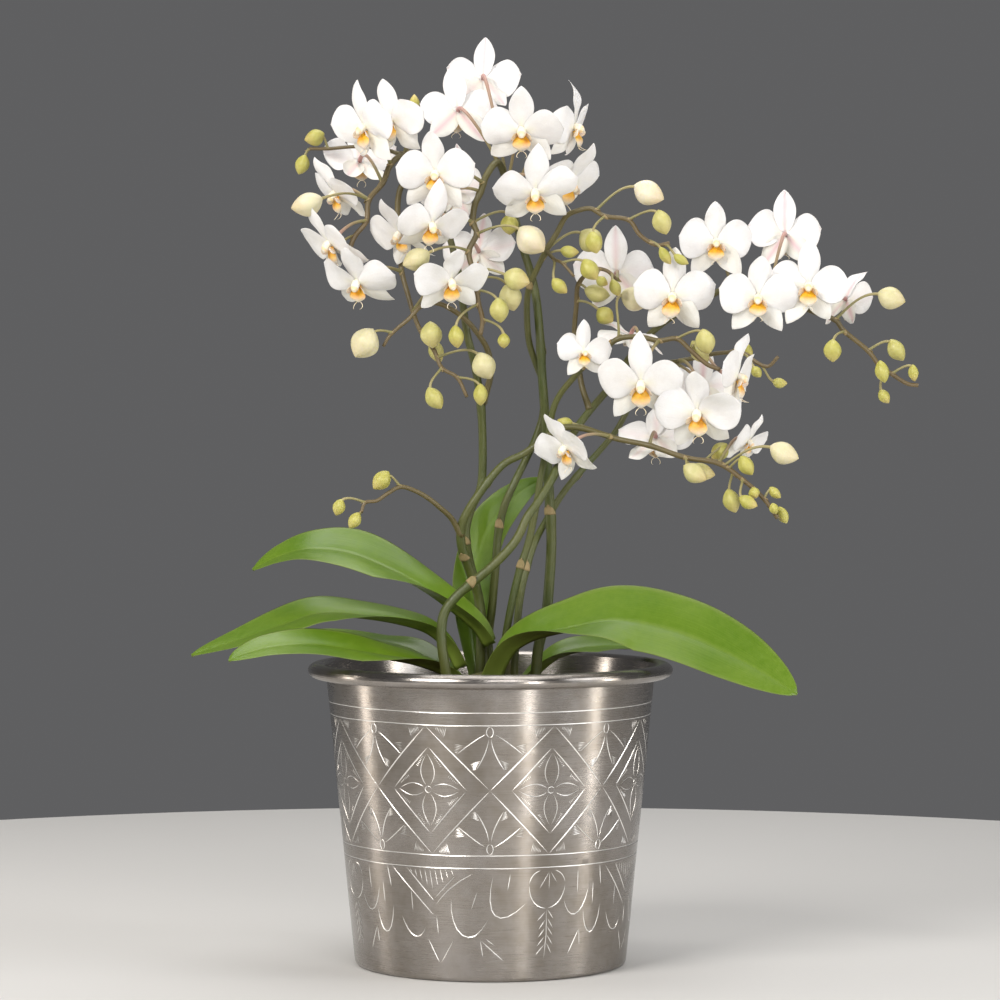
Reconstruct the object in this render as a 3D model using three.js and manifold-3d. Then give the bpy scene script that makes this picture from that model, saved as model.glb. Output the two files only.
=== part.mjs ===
// A potted moth orchid: a many-flowered plant in a spun aluminium cover pot, resting on its
// flat base. Millimetres, +Z up, origin at the centre of the pot's base. The plant's own
// points are measured from the centre of the rim's top plane, so it keeps its place in the
// mouth of the pot when the pot changes.
import * as THREE from 'three';
import { mergeVertices } from 'three/addons/utils/BufferGeometryUtils.js';
import Module from 'manifold-3d';

const wasm = await Module();
wasm.setup();

// Driving dimensions.
const potHeight = 157;
const rimRadius = 95;
const rimRollWidth = 9.6;
const rimRollHeight = 7.6;
const potBaseRadius = 70.5;
const potBaseCorner = 3;
const potWall = 1.5;
const potFloor = 2;
const barkDepth = 21;
const growPotBaseRadius = 54;
const growPotWall = 0.9;
const growPotMouthGap = 7;
const growPotLip = 2.6;
const growPotLipHeight = 4;
const clearance = 0.35;
const petalLength = 19;
const petalHalfWidth = 9.6;
const dorsalLength = 22;
const dorsalHalfWidth = 5.8;
const lateralLength = 19.5;
const lateralHalfWidth = 5.4;
const tepalThickness = 0.9;
const lipLength = 10;
const lipWidth = 6;
const lipDepth = 3.2;
const columnLength = 6;
const columnRadius = 2;
const pedicelRadius = 0.95;
const budStalkRadius = 0.75;
const bladeEdge = 0.9;
const bladeRib = 2.2;

// What follows from them.
const bodyTopRadius = rimRadius - rimRollWidth;
const rimUnderside = potHeight - rimRollHeight;
const barkTop = potHeight - barkDepth;
const foot = 1 - barkDepth;

const wallRadiusAt = (z) => THREE.MathUtils.mapLinear(z, 0, rimUnderside, potBaseRadius, bodyTopRadius);
const growPotMouthRadius = wallRadiusAt(barkTop) - potWall - growPotMouthGap;
const growPotFoot = potFloor + clearance;
const growPotHeight = barkTop + growPotLipHeight - growPotFoot;

const solidOf = (geometry) => {
  const bare = geometry.clone();
  bare.deleteAttribute('normal');
  bare.deleteAttribute('uv');
  const merged = mergeVertices(bare);
  return new wasm.Manifold(new wasm.Mesh({
    numProp: 3,
    vertProperties: new Float32Array(merged.attributes.position.array),
    triVerts: new Uint32Array(merged.index.array),
  }));
};

const geometryOf = (solid) => {
  const mesh = solid.getMesh();
  const geometry = new THREE.BufferGeometry();
  geometry.setAttribute('position', new THREE.BufferAttribute(mesh.vertProperties, 3));
  geometry.setIndex(new THREE.BufferAttribute(mesh.triVerts, 1));
  return geometry;
};

const finish = (colour, roughness, metalness = 0) => (
  new THREE.MeshStandardMaterial({ color: colour, roughness, metalness })
);

const piece = (name, geometry, material) => {
  const mesh = new THREE.Mesh(geometry, material);
  mesh.name = name;
  return mesh;
};

const vector = (values) => new THREE.Vector3(...values);
const heading = (values) => vector(values).normalize();

// The cover pot: one spun sheet, with its edge rolled outwards into the rim.
const potSegments = 36;
const innerSegments = 24;
const lathed = (outline, segments) => {
  const geometry = new THREE.LatheGeometry(outline.map(([r, z]) => new THREE.Vector2(r, z)), segments);
  return geometry.rotateX(Math.PI / 2);
};

const metalPot = () => {
  const rollCentre = rimRadius - rimRollWidth / 2;
  const rollMiddle = potHeight - rimRollHeight / 2;
  const outline = [
    [0, 0],
    [potBaseRadius - potBaseCorner, 0],
    [wallRadiusAt(potBaseCorner), potBaseCorner],
    [bodyTopRadius, rimUnderside],
  ];
  const rollSteps = 6;
  for (let i = 0; i <= rollSteps; i += 1) {
    const angle = THREE.MathUtils.mapLinear(i, 0, rollSteps, -0.75 * Math.PI, 0.75 * Math.PI);
    outline.push([
      rollCentre + (rimRollWidth / 2) * Math.cos(angle),
      rollMiddle + (rimRollHeight / 2) * Math.sin(angle),
    ]);
  }
  const innerCorner = potFloor + potBaseCorner;
  outline.push(
    [wallRadiusAt(rimUnderside) - potWall, rimUnderside],
    [wallRadiusAt(innerCorner) - potWall, innerCorner],
    [wallRadiusAt(potFloor) - potWall - potBaseCorner, potFloor],
    [0, potFloor],
  );
  return piece('metal_pot', lathed(outline, potSegments), finish(0x9c9a98, 0.38, 1));
};

// The clear nursery pot that the roots grow in. It stands on the cover pot's floor.
const growPotRadiusAt = (z) => (
  THREE.MathUtils.mapLinear(z, growPotFoot, growPotFoot + growPotHeight, growPotBaseRadius, growPotMouthRadius)
);

const growPot = () => {
  const top = growPotFoot + growPotHeight;
  const lipFoot = top - growPotLipHeight / 2;
  const outline = [
    [0, growPotFoot],
    [growPotBaseRadius, growPotFoot],
    [growPotRadiusAt(lipFoot), lipFoot],
    [growPotMouthRadius + growPotLip, lipFoot],
    [growPotMouthRadius + growPotLip, top],
    [growPotMouthRadius - growPotWall, top],
    [growPotBaseRadius - growPotWall, growPotFoot + growPotWall],
    [0, growPotFoot + growPotWall],
  ];
  return piece('grow_pot', lathed(outline, innerSegments), finish(0xc9cdc6, 0.25));
};

const barkMedium = () => {
  const floor = growPotFoot + growPotWall + clearance;
  const inset = growPotWall + 2 * clearance;
  const outline = [
    [0, floor],
    [growPotRadiusAt(floor) - inset, floor],
    [growPotRadiusAt(barkTop) - inset, barkTop],
    [0, barkTop],
  ];
  return piece('bark_medium', lathed(outline, innerSegments), finish(0x4a3424, 0.95));
};

// The short stems that the leaves and the flower spikes grow from. Each stands on the bark.
const crown = (name, [x, y], [radiusX, radiusY], top) => {
  const height = top - foot;
  const geometry = new THREE.CylinderGeometry(0.8, 1, height, 10, 1);
  geometry.rotateX(Math.PI / 2);
  geometry.scale(radiusX, radiusY, 1);
  const mesh = piece(name, geometry, finish(0x4f5f22, 0.6));
  mesh.position.set(x, y, foot + height / 2);
  return mesh;
};

// A strap leaf: a flat box bent along its midrib line, folded along the rib and tapered to a tip.
const bladeShare = (t) => {
  const widest = 0.55;
  if (t < widest) return THREE.MathUtils.lerp(0.42, 1, Math.sin((t / widest) * (Math.PI / 2)));
  return Math.max(0.06, Math.cos(((t - widest) / (1 - widest)) * (Math.PI / 2)) ** 0.75);
};

const leaf = (name, { points, halfWidth, roll, fold }) => {
  const steps = 10;
  const curve = new THREE.CatmullRomCurve3(points.map(vector), false, 'catmullrom', 0.5);
  const geometry = new THREE.BoxGeometry(1, 2, 1, steps, 2, 1);
  const position = geometry.attributes.position;
  const reach = vector(points.at(-1)).sub(vector(points[0])).setZ(0);
  const sideways = new THREE.Vector3(0, 0, 1).cross(reach).normalize();
  for (let i = 0; i < position.count; i += 1) {
    const t = position.getX(i) + 0.5;
    const across = position.getY(i);
    const tangent = curve.getTangentAt(t);
    const turn = THREE.MathUtils.degToRad(THREE.MathUtils.lerp(roll[0], roll[1], Math.min(1, t * 2)));
    const crease = THREE.MathUtils.degToRad(THREE.MathUtils.lerp(fold[0], fold[1], Math.min(1, t * 2)));
    const side = sideways.clone().addScaledVector(tangent, -sideways.dot(tangent)).normalize();
    side.applyAxisAngle(tangent, turn);
    const upward = tangent.clone().cross(side);
    const width = halfWidth * bladeShare(t);
    const rise = Math.abs(across) * width * Math.sin(crease);
    const thickness = THREE.MathUtils.lerp(bladeRib * (1.2 - 0.5 * t), bladeEdge, Math.abs(across));
    const point = curve.getPointAt(t);
    point.addScaledVector(side, across * width * Math.cos(crease));
    point.addScaledVector(upward, rise + position.getZ(i) * thickness);
    position.setXYZ(i, point.x, point.y, point.z);
  }
  return piece(name, geometry, finish(0x57732a, 0.42));
};

// A round stalk: a capped cylinder bent along a curve, with a ring at every step of it. Each
// ring's own directions are carried on from the ring before, so the stalk doesn't twist.
const stalk = (curve, startRadius, endRadius, sides, steps) => {
  const rings = [];
  let side = new THREE.Vector3(0.3, 1, 0.2);
  for (let i = 0; i <= steps; i += 1) {
    const along = curve.getTangent(i / steps);
    side = side.clone().addScaledVector(along, -side.dot(along)).normalize();
    rings.push({
      centre: curve.getPoint(i / steps),
      side,
      across: side.clone().cross(along),
      radius: THREE.MathUtils.lerp(startRadius, endRadius, i / steps),
    });
  }
  const geometry = new THREE.CylinderGeometry(1, 1, 1, sides, steps);
  const position = geometry.attributes.position;
  for (let i = 0; i < position.count; i += 1) {
    const ring = rings[Math.round((position.getY(i) + 0.5) * steps)];
    const point = ring.centre.clone();
    point.addScaledVector(ring.side, position.getZ(i) * ring.radius);
    point.addScaledVector(ring.across, -position.getX(i) * ring.radius);
    position.setXYZ(i, point.x, point.y, point.z);
  }
  return solidOf(geometry);
};

// The line of a flower's or bud's own stalk: it springs up from its node and comes in behind it.
const springLift = 0.45;
const stalkLine = (start, end, direction) => {
  const span = start.distanceTo(end);
  const leave = end.clone().sub(start).normalize();
  leave.z += springLift;
  return new THREE.CubicBezierCurve3(
    start,
    start.clone().addScaledVector(leave.normalize(), span * 0.4),
    end.clone().addScaledVector(direction, -span * 0.4),
    end,
  );
};

const budSolid = (place, direction, length, width) => {
  const geometry = new THREE.SphereGeometry(1, 5, 3);
  const position = geometry.attributes.position;
  for (let i = 0; i < position.count; i += 1) {
    const along = position.getY(i);
    const share = along > 0 ? 1 - 0.3 * along : 1;
    position.setX(i, position.getX(i) * share);
    position.setZ(i, position.getZ(i) * share);
  }
  geometry.scale(width / 2, length / 2, width / 2);
  const turn = new THREE.Quaternion().setFromUnitVectors(new THREE.Vector3(0, 1, 0), direction);
  geometry.applyQuaternion(turn);
  geometry.translate(...place.clone().addScaledVector(direction, length / 2));
  return solidOf(geometry);
};

// A flower faces +Z with its dorsal sepal along +Y. The origin is the back of its middle. The three
// sepals make one flat plate and the two petals another, a little in front of it.
const petalLead = 0.4;
const rootReach = 2.2;
const rootHalfWidth = 1.4;
const sepals = [
  { angle: 90, length: dorsalLength, halfWidth: dorsalHalfWidth, cuts: 3 },
  { angle: 230, length: lateralLength, halfWidth: lateralHalfWidth, cuts: 3 },
  { angle: 310, length: lateralLength, halfWidth: lateralHalfWidth, cuts: 3 },
];
const petals = [
  { angle: 8, length: petalLength, halfWidth: petalHalfWidth, cuts: 5 },
  { angle: 172, length: petalLength, halfWidth: petalHalfWidth, cuts: 5 },
];

const plateSolid = (lobes, lead) => {
  const centre = new THREE.Vector2();
  const outline = lobes.flatMap(({ angle, length, halfWidth, cuts }) => {
    const local = (x, y) => new THREE.Vector2(x, y).rotateAround(centre, THREE.MathUtils.degToRad(angle));
    const bulge = halfWidth * 1.65;
    const edge = (side) => new THREE.CubicBezierCurve(
      local(rootReach, side * rootHalfWidth),
      local(length * 0.4, side * bulge * 0.6),
      local(length * 0.95, side * bulge),
      local(length, 0),
    ).getPoints(cuts);
    return [...edge(-1), ...edge(1).reverse().slice(1)];
  });
  const plate = new THREE.ExtrudeGeometry(new THREE.Shape(outline), { depth: tepalThickness, bevelEnabled: false });
  plate.translate(0, 0, lead);
  return solidOf(plate);
};

const flowerSolid = () => {
  const lip = new THREE.SphereGeometry(1, 4, 3);
  lip.rotateY(Math.PI / 4);
  lip.scale(lipWidth / 2, lipLength / 2, lipDepth / 2);
  lip.rotateX(-0.5);
  lip.translate(0, -lipLength / 2, lipLength * 0.42);
  const column = new THREE.CylinderGeometry(columnRadius * 0.8, columnRadius, columnLength, 4, 1);
  column.rotateY(0.9);
  column.rotateX(Math.PI / 2);
  column.translate(0, 0, columnLength / 2 + tepalThickness / 2);
  return plateSolid(sepals, 0).add(plateSolid(petals, petalLead)).add(solidOf(lip)).add(solidOf(column));
};

const flower = (name, { to, face, size }) => {
  const mesh = piece(name, geometryOf(flowerSolid()), finish(0xeae6e0, 0.55));
  const forward = heading(face);
  const up = new THREE.Vector3(0, 0, 1);
  up.addScaledVector(forward, -up.dot(forward)).normalize();
  const right = up.clone().cross(forward);
  mesh.quaternion.setFromRotationMatrix(new THREE.Matrix4().makeBasis(right, up, forward));
  mesh.position.copy(vector(to));
  mesh.scale.setScalar(size);
  return mesh;
};

// The flower spikes. Each has a main axis and its side branches. A flower or bud leaves its
// axis at the numbered point, its middle or base is at "to", and it looks along "face".
const spikes = [
  {
    name: 'left_tall',
    axes: [
      {
        radii: [2.6, 1.2],
        points: [[-2, 16, foot], [-3, 16, 6], [-6, 15, 32], [-11, 11, 52], [-13, 8, 67], [-10, 8, 80],
          [-5, 9, 91], [-4, 9, 110], [-5, 7, 134], [-8, 4, 154], [-12, 2, 170], [-14, 2, 184],
          [-17, 4, 204], [-22, 6, 224], [-28, 8, 242], [-37, 10, 258], [-45, 10, 264], [-52, 8, 259],
          [-56, 2, 249], [-63, -4, 240], [-64, -8, 229], [-70, -10, 221], [-73, -12, 213]],
        flowers: [
          { at: 17, to: [-64, -24, 276], face: [-6, -6, -4], size: 1.05 },
          { at: 15.6, to: [-51, 0, 281], face: [-5, -7, -3], size: 1 },
          { at: 18, to: [-69, 30, 262], face: [-2, 7, -6], size: 1 },
          { at: 19, to: [-80, 6, 244], face: [-6, -4, -6], size: 1 },
          { at: 20, to: [-82, -22, 217], face: [-6, -4, -7], size: 1 },
        ],
        buds: [
          { at: 19, to: [-86, -24, 240], face: [-9, -1, -3], length: 17, width: 12.5 },
          { at: 21, to: [-75, -8, 219], face: [-9, 0, 0], length: 8, width: 6 },
          { at: 16, to: [-40, 24, 288], face: [0, 1, 9], length: 9, width: 6 },
        ],
      },
      {
        radii: [1.7, 0.9],
        points: [[-28, 8, 242], [-37, 6, 249], [-45, 6, 249], [-48, 6, 241], [-48, 4, 227],
          [-47, 2, 214], [-46, 0, 203], [-43, -4, 192], [-40, -8, 182], [-36, -10, 172],
          [-29, -12, 162], [-25, -14, 153], [-17, -16, 148], [-12, -18, 138]],
        flowers: [
          { at: 4, to: [-46, -16, 222], face: [-5, -5, -6], size: 1 },
          { at: 6, to: [-68, -24, 197], face: [-3, -6, -7], size: 1.05 },
          { at: 8, to: [-20, -34, 197], face: [2, -7, -6], size: 1 },
        ],
        buds: [
          { at: 9, to: [-31, -18, 177], face: [1, -1, -9], length: 14, width: 11.5 },
          { at: 10, to: [-30, -2, 168], face: [3, 1, -9], length: 13, width: 8 },
          { at: 10.4, to: [-6, -18, 161], face: [4, -1, -9], length: 15, width: 12.5 },
          { at: 11, to: [-32, -20, 143], face: [5, -1, -8], length: 13, width: 9 },
          { at: 12, to: [-5, -18, 145], face: [0, 0, -9], length: 11.5, width: 7.5 },
        ],
      },
      {
        radii: [1.7, 0.8],
        points: [[-4, 7, 135], [0, 2, 149], [-1, -2, 161], [-6, -8, 170], [-14, -14, 179],
          [-26, -18, 186], [-35, -20, 185], [-42, -22, 178], [-48, -22, 173], [-52, -22, 169],
          [-55, -22, 164]],
        buds: [
          { at: 8.5, to: [-60, -26, 173], face: [-5, -2, -8], length: 17.5, width: 15 },
        ],
      },
      {
        radii: [1.1, 0.8],
        points: [[-45, 10, 264], [-58, 15, 268], [-71, 18, 269], [-85, 20, 268], [-95, 20, 268]],
        buds: [
          { at: 3, to: [-87, 20, 276], face: [-9, 0, -3], length: 11, width: 9 },
          { at: 4, to: [-97, 20, 265], face: [-3, 0, -9], length: 11, width: 7.5 },
        ],
      },
    ],
  },
  {
    name: 'left_arch',
    axes: [
      {
        radii: [2.7, 1.0],
        points: [[-7, 9, foot], [-5, 9, 6], [-6, 8, 32], [-11, 1, 48], [-15, -5, 61], [-15, -8, 71],
          [-11, -9, 80], [-5, -9, 89], [1, -8, 97], [8, -7, 104], [18, -7, 109], [29, -8, 117],
          [37, -9, 122], [47, -9, 122], [57, -9, 119], [67, -11, 116], [82, -18, 113], [100, -24, 107],
          [117, -28, 104], [129, -30, 96], [140, -32, 86], [147, -34, 76]],
        flowers: [
          { at: 14.5, to: [39, -26, 112], face: [-6, -5, -6], size: 0.95 },
          { at: 16, to: [86, 2, 117], face: [1, 6, -6], size: 1 },
          { at: 18, to: [133, -12, 115], face: [6, -5, -6], size: 0.7 },
        ],
        buds: [
          { at: 13, to: [43, -2, 124], face: [-8, 0, 2], length: 8.5, width: 6 },
          { at: 18.2, to: [143, -34, 113], face: [9, -1, -4], length: 16, width: 11.5 },
          { at: 17.6, to: [122, -18, 114], face: [-6, 1, -6], length: 11, width: 9 },
          { at: 18.4, to: [128, -34, 108], face: [5, 0, -8], length: 11.5, width: 8 },
          { at: 17, to: [99, -30, 103], face: [8, -1, -5], length: 14, width: 10 },
          { at: 16.8, to: [103, -14, 102], face: [9, 1, -3], length: 14, width: 9 },
          { at: 18.6, to: [122, -26, 91], face: [3, 0, -9], length: 13, width: 9 },
          { at: 19, to: [127, -38, 87], face: [8, 0, -4], length: 10.5, width: 7 },
          { at: 19.5, to: [134, -36, 92], face: [3, 0, -9], length: 6, width: 6 },
          { at: 20, to: [143, -32, 92], face: [7, 0, -7], length: 8, width: 5 },
          { at: 20.5, to: [144, -38, 84], face: [3, 0, -9], length: 6, width: 5 },
          { at: 21, to: [148, -32, 82], face: [4, 0, -9], length: 9.5, width: 6 },
        ],
      },
      {
        radii: [1.5, 0.8],
        points: [[-15, -7, 66], [-20, -12, 75], [-26, -18, 81], [-32, -22, 86], [-39, -25, 90],
          [-46, -28, 92], [-52, -30, 89], [-58, -31, 85], [-64, -32, 84], [-66, -33, 79]],
        buds: [
          { at: 5, to: [-52, -30, 100], face: [-6, -1, -7], length: 12, width: 9 },
          { at: 8, to: [-76, -34, 86], face: [-3, 0, -9], length: 9, width: 6.5 },
          { at: 9, to: [-67, -33, 79], face: [-5, 0, -8], length: 9.5, width: 6.5 },
        ],
      },
    ],
  },
  {
    name: 'front_arch',
    axes: [
      {
        radii: [2.7, 1.0],
        points: [[-20, -24, foot], [-23, -27, -2], [-25, -27, 13], [-24, -26, 26], [-18, -25, 35],
          [-10, -24, 42], [2, -23, 52], [13, -21, 64], [19, -19, 76], [24, -17, 83], [31, -13, 94],
          [37, -7, 106], [43, 0, 119], [52, 6, 131], [63, 12, 144], [74, 18, 160], [86, 22, 173],
          [100, 22, 183], [114, 20, 190], [126, 16, 196], [141, 10, 194], [156, 6, 187], [169, 2, 182],
          [179, 0, 178], [184, 0, 172], [196, -2, 162], [202, -4, 154], [208, -4, 150], [216, -4, 145],
          [222, -4, 144]],
        flowers: [
          { at: 17, to: [94, -14, 190], face: [-1, -9, -3], size: 1.1 },
          { at: 19, to: [117, -2, 218], face: [0, -10, -2], size: 1 },
          { at: 19.5, to: [138, -16, 189], face: [-1, -9, -3], size: 1.05 },
          { at: 20.3, to: [154, 14, 223], face: [1, 9, -2], size: 1 },
          { at: 21, to: [164, -16, 195], face: [-1, -9, -2], size: 1.05 },
          { at: 22, to: [186, 14, 189], face: [6, 6, -4], size: 0.85 },
        ],
        buds: [
          { at: 23, to: [201, -2, 192], face: [9, -1, -3], length: 15, width: 12 },
          { at: 24, to: [177, -10, 168], face: [0, -1, -9], length: 12, width: 9.5 },
          { at: 25, to: [208, 2, 168], face: [5, 0, -8], length: 13, width: 9 },
          { at: 26, to: [201, -14, 157], face: [2, -1, -9], length: 12, width: 7.5 },
          { at: 26.5, to: [203, 4, 142], face: [5, 0, -8], length: 8.5, width: 6 },
          { at: 27, to: [219, -4, 155], face: [1, 0, -9], length: 9, width: 5.5 },
        ],
      },
      {
        radii: [1.6, 0.9],
        points: [[52, 6, 131], [48, 12, 143], [46, 16, 156], [44, 18, 171], [45, 16, 186],
          [46, 12, 197], [53, 8, 204], [60, 5, 204], [66, 3, 199]],
        flowers: [
          { at: 8, to: [66, 24, 203], face: [-1, 9, -2], size: 1.1 },
        ],
        buds: [
          { at: 4.2, to: [56, 10, 184], face: [7, -1, -6], length: 10.5, width: 9.5 },
          { at: 5, to: [49, 11, 194], face: [9, 1, -2], length: 14, width: 9.5 },
          { at: 6.5, to: [55, 0, 200], face: [8, 0, -5], length: 7, width: 5.5 },
          { at: 7.5, to: [63, -4, 199], face: [4, 0, -9], length: 9.5, width: 6 },
        ],
      },
    ],
  },
  {
    name: 'middle',
    axes: [
      {
        radii: [2.3, 1.0],
        points: [[2, 21, foot], [-1, 20, 8], [1, 17, 29], [3, 14, 53], [4, 13, 66], [7, 12, 80],
          [12, 13, 92], [18, 16, 104], [24, 20, 117], [28, 22, 131], [28, 20, 144], [24, 16, 155],
          [20, 12, 168], [19, 6, 187], [21, 0, 197], [25, -4, 206], [29, -8, 214], [34, -10, 222],
          [39, -12, 231], [45, -14, 234], [52, -16, 235], [59, -18, 231], [71, -20, 229],
          [77, -22, 221], [85, -24, 216], [92, -24, 217]],
        buds: [
          { at: 20.3, to: [74, -20, 247], face: [8, -1, -4], length: 17, width: 13 },
          { at: 22, to: [86, -26, 234], face: [3, -1, -9], length: 13.5, width: 10 },
          { at: 16, to: [47, -2, 224], face: [7, 1, -6], length: 14, width: 13 },
          { at: 21, to: [52, -24, 223], face: [2, -2, -9], length: 12, width: 9 },
          { at: 15.5, to: [36, -8, 214], face: [9, 1, -1], length: 10, width: 6.5 },
          { at: 23.6, to: [87, -26, 215], face: [5, 0, -8], length: 10.5, width: 5.5 },
          { at: 24.6, to: [94, -26, 211], face: [8, 0, -5], length: 9, width: 5 },
        ],
      },
      {
        radii: [1.0, 0.7],
        points: [[29, -8, 214], [33, -14, 209], [37, -18, 207], [43, -22, 200]],
        buds: [
          { at: 1, to: [32, -18, 199], face: [7, 0, -7], length: 10.5, width: 7 },
          { at: 2, to: [48, -18, 209], face: [5, 0, -8], length: 12.5, width: 9.5 },
        ],
      },
    ],
  },
  {
    name: 'slender_left',
    axes: [
      {
        radii: [2.1, 1.1],
        points: [[5, 4, foot], [7, 3, 6], [11, 2, 30], [15, 2, 47], [20, 2, 63], [24, 2, 82],
          [26, 2, 95], [29, 2, 110], [32, 0, 129], [36, -2, 139], [44, -6, 149], [52, -10, 158],
          [58, -12, 162], [66, -14, 168], [77, -16, 169], [87, -18, 167], [96, -20, 168],
          [103, -22, 162], [111, -24, 155], [118, -26, 152]],
        flowers: [
          { at: 12.5, to: [48, -20, 161], face: [2, -9, -2], size: 0.72 },
          { at: 14, to: [73, 4, 170], face: [-3, 3, -9], size: 0.95 },
          { at: 15, to: [77, -38, 145], face: [-1, -8, -6], size: 1.15 },
        ],
        buds: [
          { at: 13, to: [68, 6, 192], face: [9, 1, -3], length: 16, width: 13 },
          { at: 16, to: [109, -26, 173], face: [2, -1, -9], length: 13.5, width: 10.5 },
          { at: 17, to: [104, -14, 167], face: [6, 0, -8], length: 14, width: 9 },
        ],
      },
    ],
  },
  {
    name: 'slender_right',
    axes: [
      {
        radii: [2.1, 0.9],
        points: [[12, 12, foot], [13, 12, 6], [15, 12, 29], [18, 13, 45], [23, 18, 61], [30, 25, 74],
          [38, 27, 87], [47, 29, 98], [58, 31, 110], [67, 34, 121], [75, 36, 136], [82, 34, 148],
          [91, 30, 155], [100, 26, 157], [110, 22, 159], [120, 18, 161], [132, 14, 161],
          [139, 10, 156], [145, 8, 154], [150, 6, 159]],
        flowers: [
          { at: 12.5, to: [112, 36, 143], face: [1, 9, -3], size: 1 },
          { at: 13, to: [106, -36, 130], face: [-2, -8, -5], size: 1.15 },
          { at: 14, to: [127, -14, 148], face: [9, -4, -2], size: 1 },
        ],
        buds: [
          { at: 15.5, to: [132, 20, 167], face: [5, 0, -8], length: 10, width: 6 },
          { at: 16, to: [137, 8, 154], face: [5, 0, -7], length: 7, width: 5.5 },
          { at: 17, to: [147, 8, 146], face: [9, 0, -1], length: 8, width: 5.5 },
        ],
      },
    ],
  },
  {
    name: 'right_tall',
    axes: [
      {
        radii: [2.9, 1.1],
        points: [[23, 21, foot], [25, 21, 5], [29, 20, 21], [31, 19, 42], [32, 18, 63], [31, 17, 84],
          [30, 14, 100], [29, 11, 121], [28, 10, 136], [27, 9, 149], [26, 10, 168], [24, 12, 189],
          [21, 14, 203], [17, 16, 216], [12, 18, 235], [9, 14, 248], [4, 8, 260], [-2, 0, 253],
          [-5, -6, 244], [-8, -12, 237], [-9, -14, 228], [-7, -16, 222], [-11, -18, 213],
          [-9, -20, 203], [-7, -22, 193], [-6, -22, 186], [-4, -22, 178], [-5, -22, 170]],
        flowers: [
          { at: 15, to: [-4, 36, 306], face: [0, 9, -3], size: 1 },
          { at: 16, to: [-17, 18, 288], face: [-1, 9, -3], size: 1.05 },
          { at: 15, to: [16, -22, 275], face: [0, -8, -5], size: 1.1 },
          { at: 14.5, to: [43, 6, 278], face: [9, -4, -2], size: 1 },
          { at: 15.2, to: [23, -28, 243], face: [0, -7, -6], size: 1.1 },
          { at: 14, to: [41, 14, 250], face: [5, -5, -6], size: 1.1 },
          { at: 17.5, to: [-28, -32, 252], face: [-1, -9, -4], size: 1.05 },
          { at: 18, to: [-19, 12, 244], face: [4, 8, -3], size: 1 },
          { at: 20, to: [-30, -34, 226], face: [2, -7, -6], size: 1 },
          { at: 22, to: [-6, 15, 214], face: [2, 8, -4], size: 1 },
        ],
        buds: [
          { at: 22, to: [-31, -33, 212], face: [-8, -2, -4], length: 15.5, width: 12 },
          { at: 21, to: [15, -24, 225], face: [6, -2, -6], length: 18, width: 15 },
          { at: 20, to: [10, -4, 233], face: [0, 0, -9], length: 11, width: 9.5 },
          { at: 23, to: [7, -24, 201], face: [9, -1, -3], length: 14, width: 12 },
          { at: 23.4, to: [9, -12, 197], face: [2, 1, -9], length: 15, width: 12 },
          { at: 24, to: [4, -26, 189], face: [1, 0, -9], length: 13, width: 10 },
          { at: 25, to: [-18, -26, 175], face: [1, 0, -9], length: 12, width: 8 },
          { at: 26, to: [7, -22, 171], face: [0, 0, -9], length: 8, width: 6.5 },
        ],
      },
    ],
  },
];

// The leaves, from the crown outwards. Those that reach past the rim measure from it.
const leaves = {
  leaf_left_upper: {
    points: [[-1, -3, 9], [-7, -4, 18], [-16, -5, 26], [-31, -6, 37], [-51, -6, 48], [-73, -5, 57],
      [-94, -3, 59], [-110, 0, 55], [-124, 3, 48]],
    halfWidth: 19, roll: [0, -27], fold: [35, 10],
  },
  leaf_left_middle: {
    points: [[-16, -3, -3], [-22, -4, 8], [-32, -6, 17], [-47, -10, 22], [-67, -11, 25],
      [-88, -13, 26], [-rimRadius - 13, -17, 20], [-rimRadius - 36, -19, 12], [-rimRadius - 59, -22, 5]],
    halfWidth: 18, roll: [0, -18], fold: [30, 8],
  },
  leaf_left_lower: {
    points: [[-15, -8, -14], [-23, -10, -5], [-37, -16, 1], [-54, -26, 5], [-72, -36, 9],
      [3 - rimRadius, -44, 12], [-rimRadius - 17, -52, 11], [-rimRadius - 29, -57, 8],
      [-rimRadius - 37, -61, 5]],
    halfWidth: 15, roll: [0, -25], fold: [30, 8],
  },
  leaf_left_back: {
    points: [[-16, 9, -12], [-27, 14, -4], [-42, 22, 5], [-64, 32, 9], [-85, 42, 10],
      [-rimRadius - 7, 48, 11], [-rimRadius - 15, 52, 11]],
    halfWidth: 14, roll: [0, -8], fold: [30, 8],
  },
  leaf_right_front: {
    points: [[2, -14, -9], [6, -16, 0], [12, -18, 9], [23, -19, 15], [41, -19, 19], [62, -20, 23],
      [82, -22, 21], [rimRadius + 8, -25, 15], [rimRadius + 28, -28, 6], [rimRadius + 46, -32, -4],
      [rimRadius + 62, -36, -14]],
    halfWidth: 23, roll: [0, 45], fold: [40, 8],
  },
  leaf_right_back: {
    points: [[18, 34, -14], [27, 35, -5], [38, 36, 2], [55, 39, 5], [77, 43, 5], [rimRadius, 47, 3]],
    halfWidth: 15, roll: [0, 12], fold: [30, 8],
  },
  leaf_upright: {
    points: [[-6, 26, -14], [-8, 27, 4], [-10, 28, 23], [-10, 29, 39], [-7, 30, 54], [-2, 31, 68],
      [6, 32, 79], [16, 33, 88], [28, 34, 95]],
    halfWidth: 11, roll: [80, 80], fold: [25, 8],
  },
};

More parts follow.
